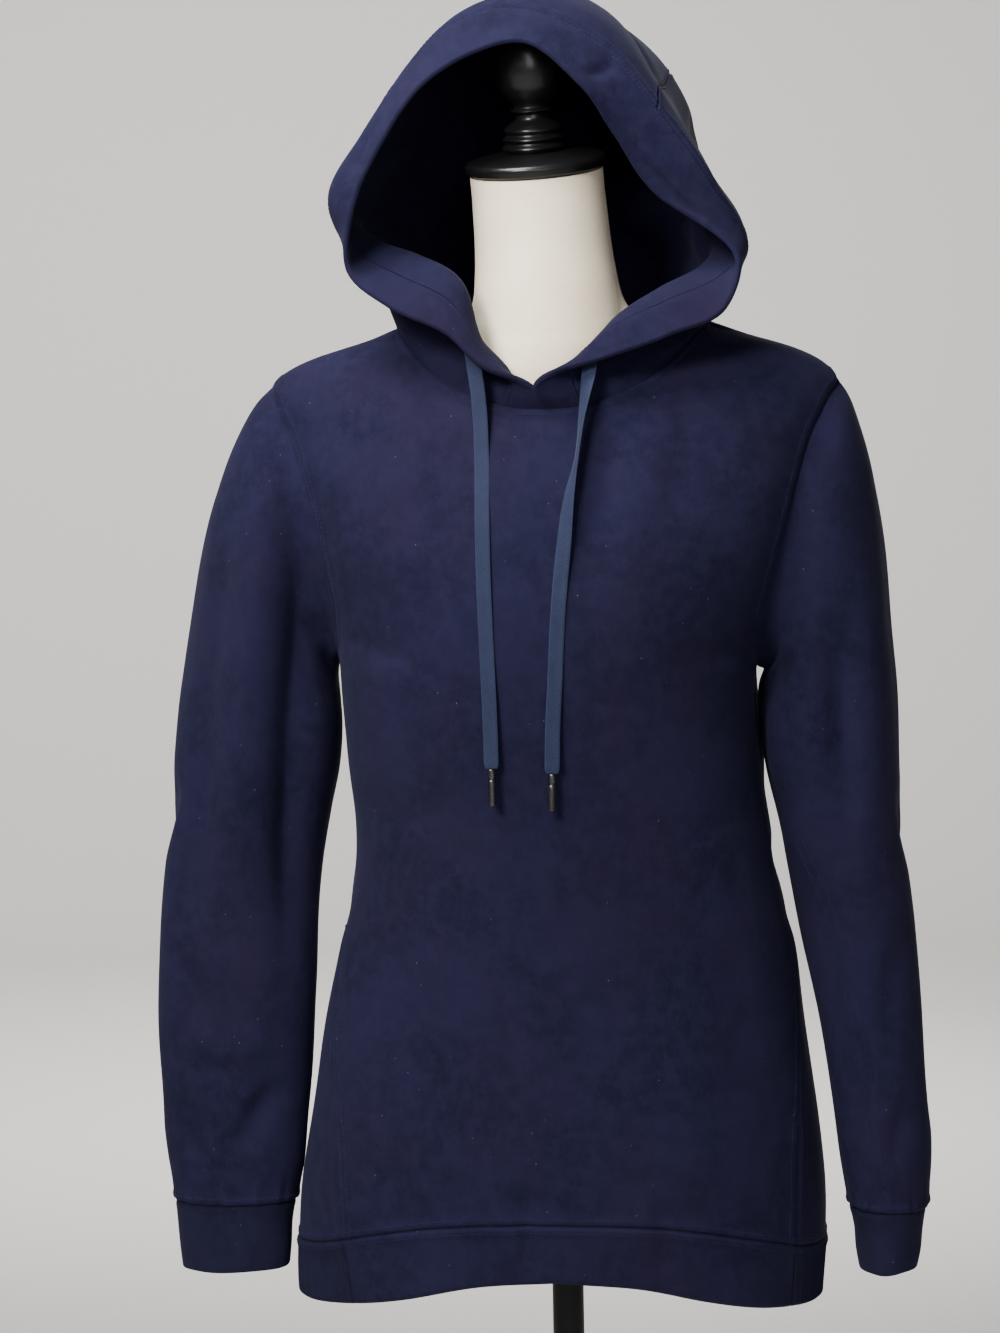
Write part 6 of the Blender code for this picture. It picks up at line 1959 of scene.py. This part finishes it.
@dataclass(frozen=True)
class Linen:
    """Natural cotton jersey stretched over the form, with slubs and faint handling marks."""

    name: str = "form_cover"
    colour: Colour = (0.790, 0.670, 0.500)
    pale: Colour = (0.870, 0.775, 0.615)
    worn: Colour = (0.620, 0.500, 0.370)

    def dress(self) -> bpy.types.Material:
        """Make the material."""
        shop = Shop(self.name)
        slub = shop.ramp(shop.noise((120.0, 120.0, 900.0), 2.0, 0.6), 0.42, 0.78)
        cloud = shop.ramp(shop.noise(14.0, 3.0), 0.36, 0.70)
        marks = shop.ramp(shop.noise(38.0, 4.0, 0.65), 0.62, 0.80)
        colour = shop.mix(cloud * 0.6, self.colour, self.pale)
        colour = shop.mix(slub * 0.22, colour, self.worn)
        colour = shop.mix(marks * 0.25, colour, self.worn)
        shop.set(Base_Color=colour, Roughness=0.80 + slub * 0.12, Specular_IOR_Level=0.25, Sheen_Weight=0.08)
        over = shop.noise((1500.0, 1500.0, 300.0), 1.0)
        under = shop.noise((300.0, 300.0, 1500.0), 1.0)
        shop.bump((over + under, 0.00010), (shop.noise(240.0, 3.0), 0.00010))
        return shop.done()


@dataclass(frozen=True)
class Lacquer:
    """Black turned wood or steel under lacquer, with dust and fine wipe marks."""

    name: str = "gloss_black"
    colour: Colour = (0.0045, 0.0045, 0.0050)
    dust: Colour = (0.022, 0.022, 0.024)
    roughness: float = 0.27
    coat: float = 0.14
    shine: float = 0.26
    ripple: float = 0.00012

    def dress(self) -> bpy.types.Material:
        """Make the material."""
        shop = Shop(self.name)
        dust = shop.ramp(shop.noise(210.0, 5.0, 0.7), 0.56, 0.86)
        wipe = shop.noise((22.0, 60.0, 60.0), 3.0)
        shop.set(Base_Color=shop.mix(dust * 0.30, self.colour, self.dust),
                 Roughness=self.roughness + wipe * 0.14 + dust * 0.10, Specular_IOR_Level=self.shine,
                 Coat_Weight=self.coat, Coat_Roughness=self.roughness * 0.6)
        shop.bump((shop.noise(42.0, 2.0), self.ripple))
        return shop.done()


@dataclass(frozen=True)
class Gunmetal:
    """Dark plated metal with rubbed edges and fine scratches."""

    name: str = "gunmetal"
    colour: Colour = (0.060, 0.058, 0.062)
    rubbed: Colour = (0.210, 0.205, 0.205)

    def dress(self) -> bpy.types.Material:
        """Make the material."""
        shop = Shop(self.name)
        rub = shop.ramp(shop.noise(420.0, 3.0, 0.6), 0.50, 0.78)
        scratch = shop.noise((2600.0, 2600.0, 260.0), 2.0)
        shop.set(Base_Color=shop.mix(rub * 0.5, self.colour, self.rubbed), Metallic=1.0,
                 Roughness=0.26 + scratch * 0.22)
        shop.bump((scratch, 0.00003))
        return shop.done()


@dataclass(frozen=True)
class Plaster:
    """The plain pale surroundings."""

    name: str = "studio"
    colour: Colour = (0.74, 0.73, 0.71)

    def dress(self) -> bpy.types.Material:
        """Make the material."""
        shop = Shop(self.name)
        shop.set(Base_Color=self.colour, Roughness=0.92, Specular_IOR_Level=0.1)
        return shop.done()


class Finish(Enum):
    """The finishes used, each made once."""

    FLEECE = Fleece()
    RIB = Fleece("navy_rib", (0.0026, 0.0027, 0.0125), (0.0066, 0.0063, 0.0215), (0.0066, 0.0042, 0.0145),
                 sheen=0.02, wales=900.0)
    THREAD = Fleece("navy_thread", (0.0075, 0.0080, 0.0330), (0.0130, 0.0135, 0.0440), (0.0100, 0.0090, 0.0330),
                    sheen=0.02, fuzz=0.00003)
    TAPE = Tape()
    METAL = Gunmetal()
    COVER = Linen()
    GLOSS = Lacquer()
    SATIN = Lacquer("satin_black", (0.0060, 0.0060, 0.0062), roughness=0.38, coat=0.02, shine=0.12)
    STUDIO = Plaster()

    @property
    def material(self) -> bpy.types.Material:
        """The material, made on first use."""
        return bpy.data.materials.get(self.value.name) or self.value.dress()

    def on(self, item: bpy.types.Object) -> None:
        """Dress a piece in this finish."""
        item.data.materials.clear()
        item.data.materials.append(self.material)


# ---------------------------------------------------------------- studio

@dataclass
class Studio:
    """Pale surroundings, soft light from the upper left front, and the camera."""

    floor: float = -0.0006
    radius: float = 7.5
    camera_place: tuple[float, float, float] = (0.12044, -1.89097, 1.23288)
    azimuth: float = 5.0
    elevation: float = 2.5
    roll: float = -1.0
    lens: float = 66.17
    sky: tuple[float, float, float, float] = (0.86, 0.88, 0.92, 1.0)
    sky_strength: float = 0.13

    def bowl(self) -> bpy.types.Object:
        """A round floor whose rim curves up into a wall, open above."""
        turn = turns(96)
        corner = [(self.radius - 1.6 + 1.6 * math.sin(a), 1.6 - 1.6 * math.cos(a))
                  for a in np.linspace(0, math.pi / 2, 14)]
        profile = [(0.1, 0.0), (0.4, 0.0), (1.5, 0.0), (3.5, 0.0), *corner, (self.radius, 5.0)]
        rings = np.array([[(r * math.cos(t), r * math.sin(t), self.floor + z) for t in turn] for r, z in profile])
        faces = [*quad_grid(len(profile), 96, True), np.arange(96)[::-1]]
        mesh = bpy.data.meshes.new("studio_bowl")
        mesh.from_pydata(rings.reshape(-1, 3).tolist(), [], [list(map(int, face)) for face in faces])
        mesh.shade_smooth()
        return put("studio_bowl", mesh)

    def light(self, name: str, place: Sequence[float], target: Sequence[float], size: float, power: float,
              colour: Colour = (1.0, 1.0, 1.0)) -> None:
        """Add a soft square light.

        Args:
            name: the light's name.
            place: where it stands.
            target: what it faces.
            size: its width.
            power: its power in watts.
            colour: its colour.
        """
        data = bpy.data.lights.new(name, "AREA")
        data.energy, data.size, data.color = power, size, colour
        item = put(name, data)
        item.location = place
        item.rotation_euler = (Vector(target) - Vector(place)).to_track_quat("-Z", "Y").to_euler()

    def camera(self) -> None:
        """Add the camera."""
        a, e, r = (math.radians(v) for v in (self.azimuth, self.elevation, self.roll))
        back = Vector((math.sin(a) * math.cos(e), -math.cos(a) * math.cos(e), math.sin(e)))
        level = Vector((math.cos(a), math.sin(a), 0.0))
        above = back.cross(level)
        right = level * math.cos(r) + above * math.sin(r)
        up = above * math.cos(r) - level * math.sin(r)
        data = bpy.data.cameras.new("camera")
        data.lens, data.sensor_width, data.sensor_fit = self.lens, 36.0, "AUTO"
        data.clip_start, data.clip_end = 0.05, 60.0
        item = put("camera", data)
        item.matrix_world = Matrix.Translation(self.camera_place) @ Matrix((right, up, back)).transposed().to_4x4()
        bpy.context.scene.camera = item

    def build(self) -> None:
        """Set up everything round the object."""
        bowl = self.bowl()
        Finish.STUDIO.on(bowl)
        world = bpy.data.worlds.new("studio")
        world.use_nodes = True
        shade = world.node_tree.nodes["Background"]
        shade.inputs["Color"].default_value, shade.inputs["Strength"].default_value = self.sky, self.sky_strength
        bpy.context.scene.world = world
        self.light("window", (-1.10, -2.45, 2.60), (0.0, 0.0, 1.40), 0.9, 138.0, (1.0, 0.985, 0.95))
        self.light("front_fill", (0.5, -3.0, 1.5), (0.02, 0.0, 1.35), 1.2, 24.0, (0.95, 0.97, 1.0))
        self.light("overhead", (-0.40, -0.42, 2.30), (-0.04, -0.04, 1.62), 0.5, 32.0, (0.97, 0.98, 1.0))
        self.light("back_fill", (0.9, 3.6, 2.8), (0.0, 0.0, 1.2), 2.0, 55.0)
        self.light("wall_wash", (-0.8, 2.6, 3.2), (-1.2, 7.5, 1.6), 2.6, 240.0, (1.0, 0.98, 0.95))
        self.camera()


# ---------------------------------------------------------------- assembly

FINISHES = {
    "cuff": Finish.RIB, "hem_rib": Finish.RIB, "drawcord": Finish.TAPE, "aglet": Finish.METAL,
    "dress_form": Finish.COVER, "neck_cap": Finish.GLOSS, "finial": Finish.GLOSS, "base": Finish.SATIN,
    "pole": Finish.SATIN,
}


def main() -> None:
    """Build the garment, its stand and the studio."""
    logging.basicConfig(level=logging.INFO, format="%(message)s")
    for item in list(bpy.data.objects):
        bpy.data.objects.remove(item, do_unlink=True)
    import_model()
    torso = Torso()
    sleeve_thread, hood_thread = Thread("sleeve_stitching"), Thread("hood_stitching")
    body = Body(torso)
    made = body.build()
    made |= Sleeve(torso, LEFT, SLEEVES_LEFT, CUFFS_LEFT, LEFT_FOLDS, sleeve_thread).build()
    made |= Sleeve(torso, RIGHT, SLEEVES_RIGHT, CUFFS_RIGHT, RIGHT_FOLDS, sleeve_thread,
                   seam_line=RIGHT_SLEEVE_SEAM).build()
    made |= Hood(torso, hood_thread).build()
    for side, rows, hidden in ((LEFT, CORDS_LEFT, CordRow(-0.0555, 1.3935, 0.0868, 8.0)),
                               (RIGHT, CORDS_RIGHT, CordRow(0.0335, 1.3785, 0.0915, 12.0))):
        made |= Drawcord(torso, side, rows, hidden).build()
    made |= Stand().build()
    for node, item in made.items():
        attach(item, "root")
        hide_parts(node)
        finish = next((kind for key, kind in FINISHES.items() if node.startswith(key)), Finish.FLEECE)
        finish.on(item)
        log.info("%s stands for %s with %d faces", item.name, node, len(item.data.polygons))
    for thread in (body.thread, sleeve_thread, hood_thread):
        item = thread.build()
        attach(item, "root")
        Finish.THREAD.on(item)
        log.info("%s has %d faces", item.name, len(item.data.polygons))
    Studio().build()


if __name__ == "__main__":
    main()
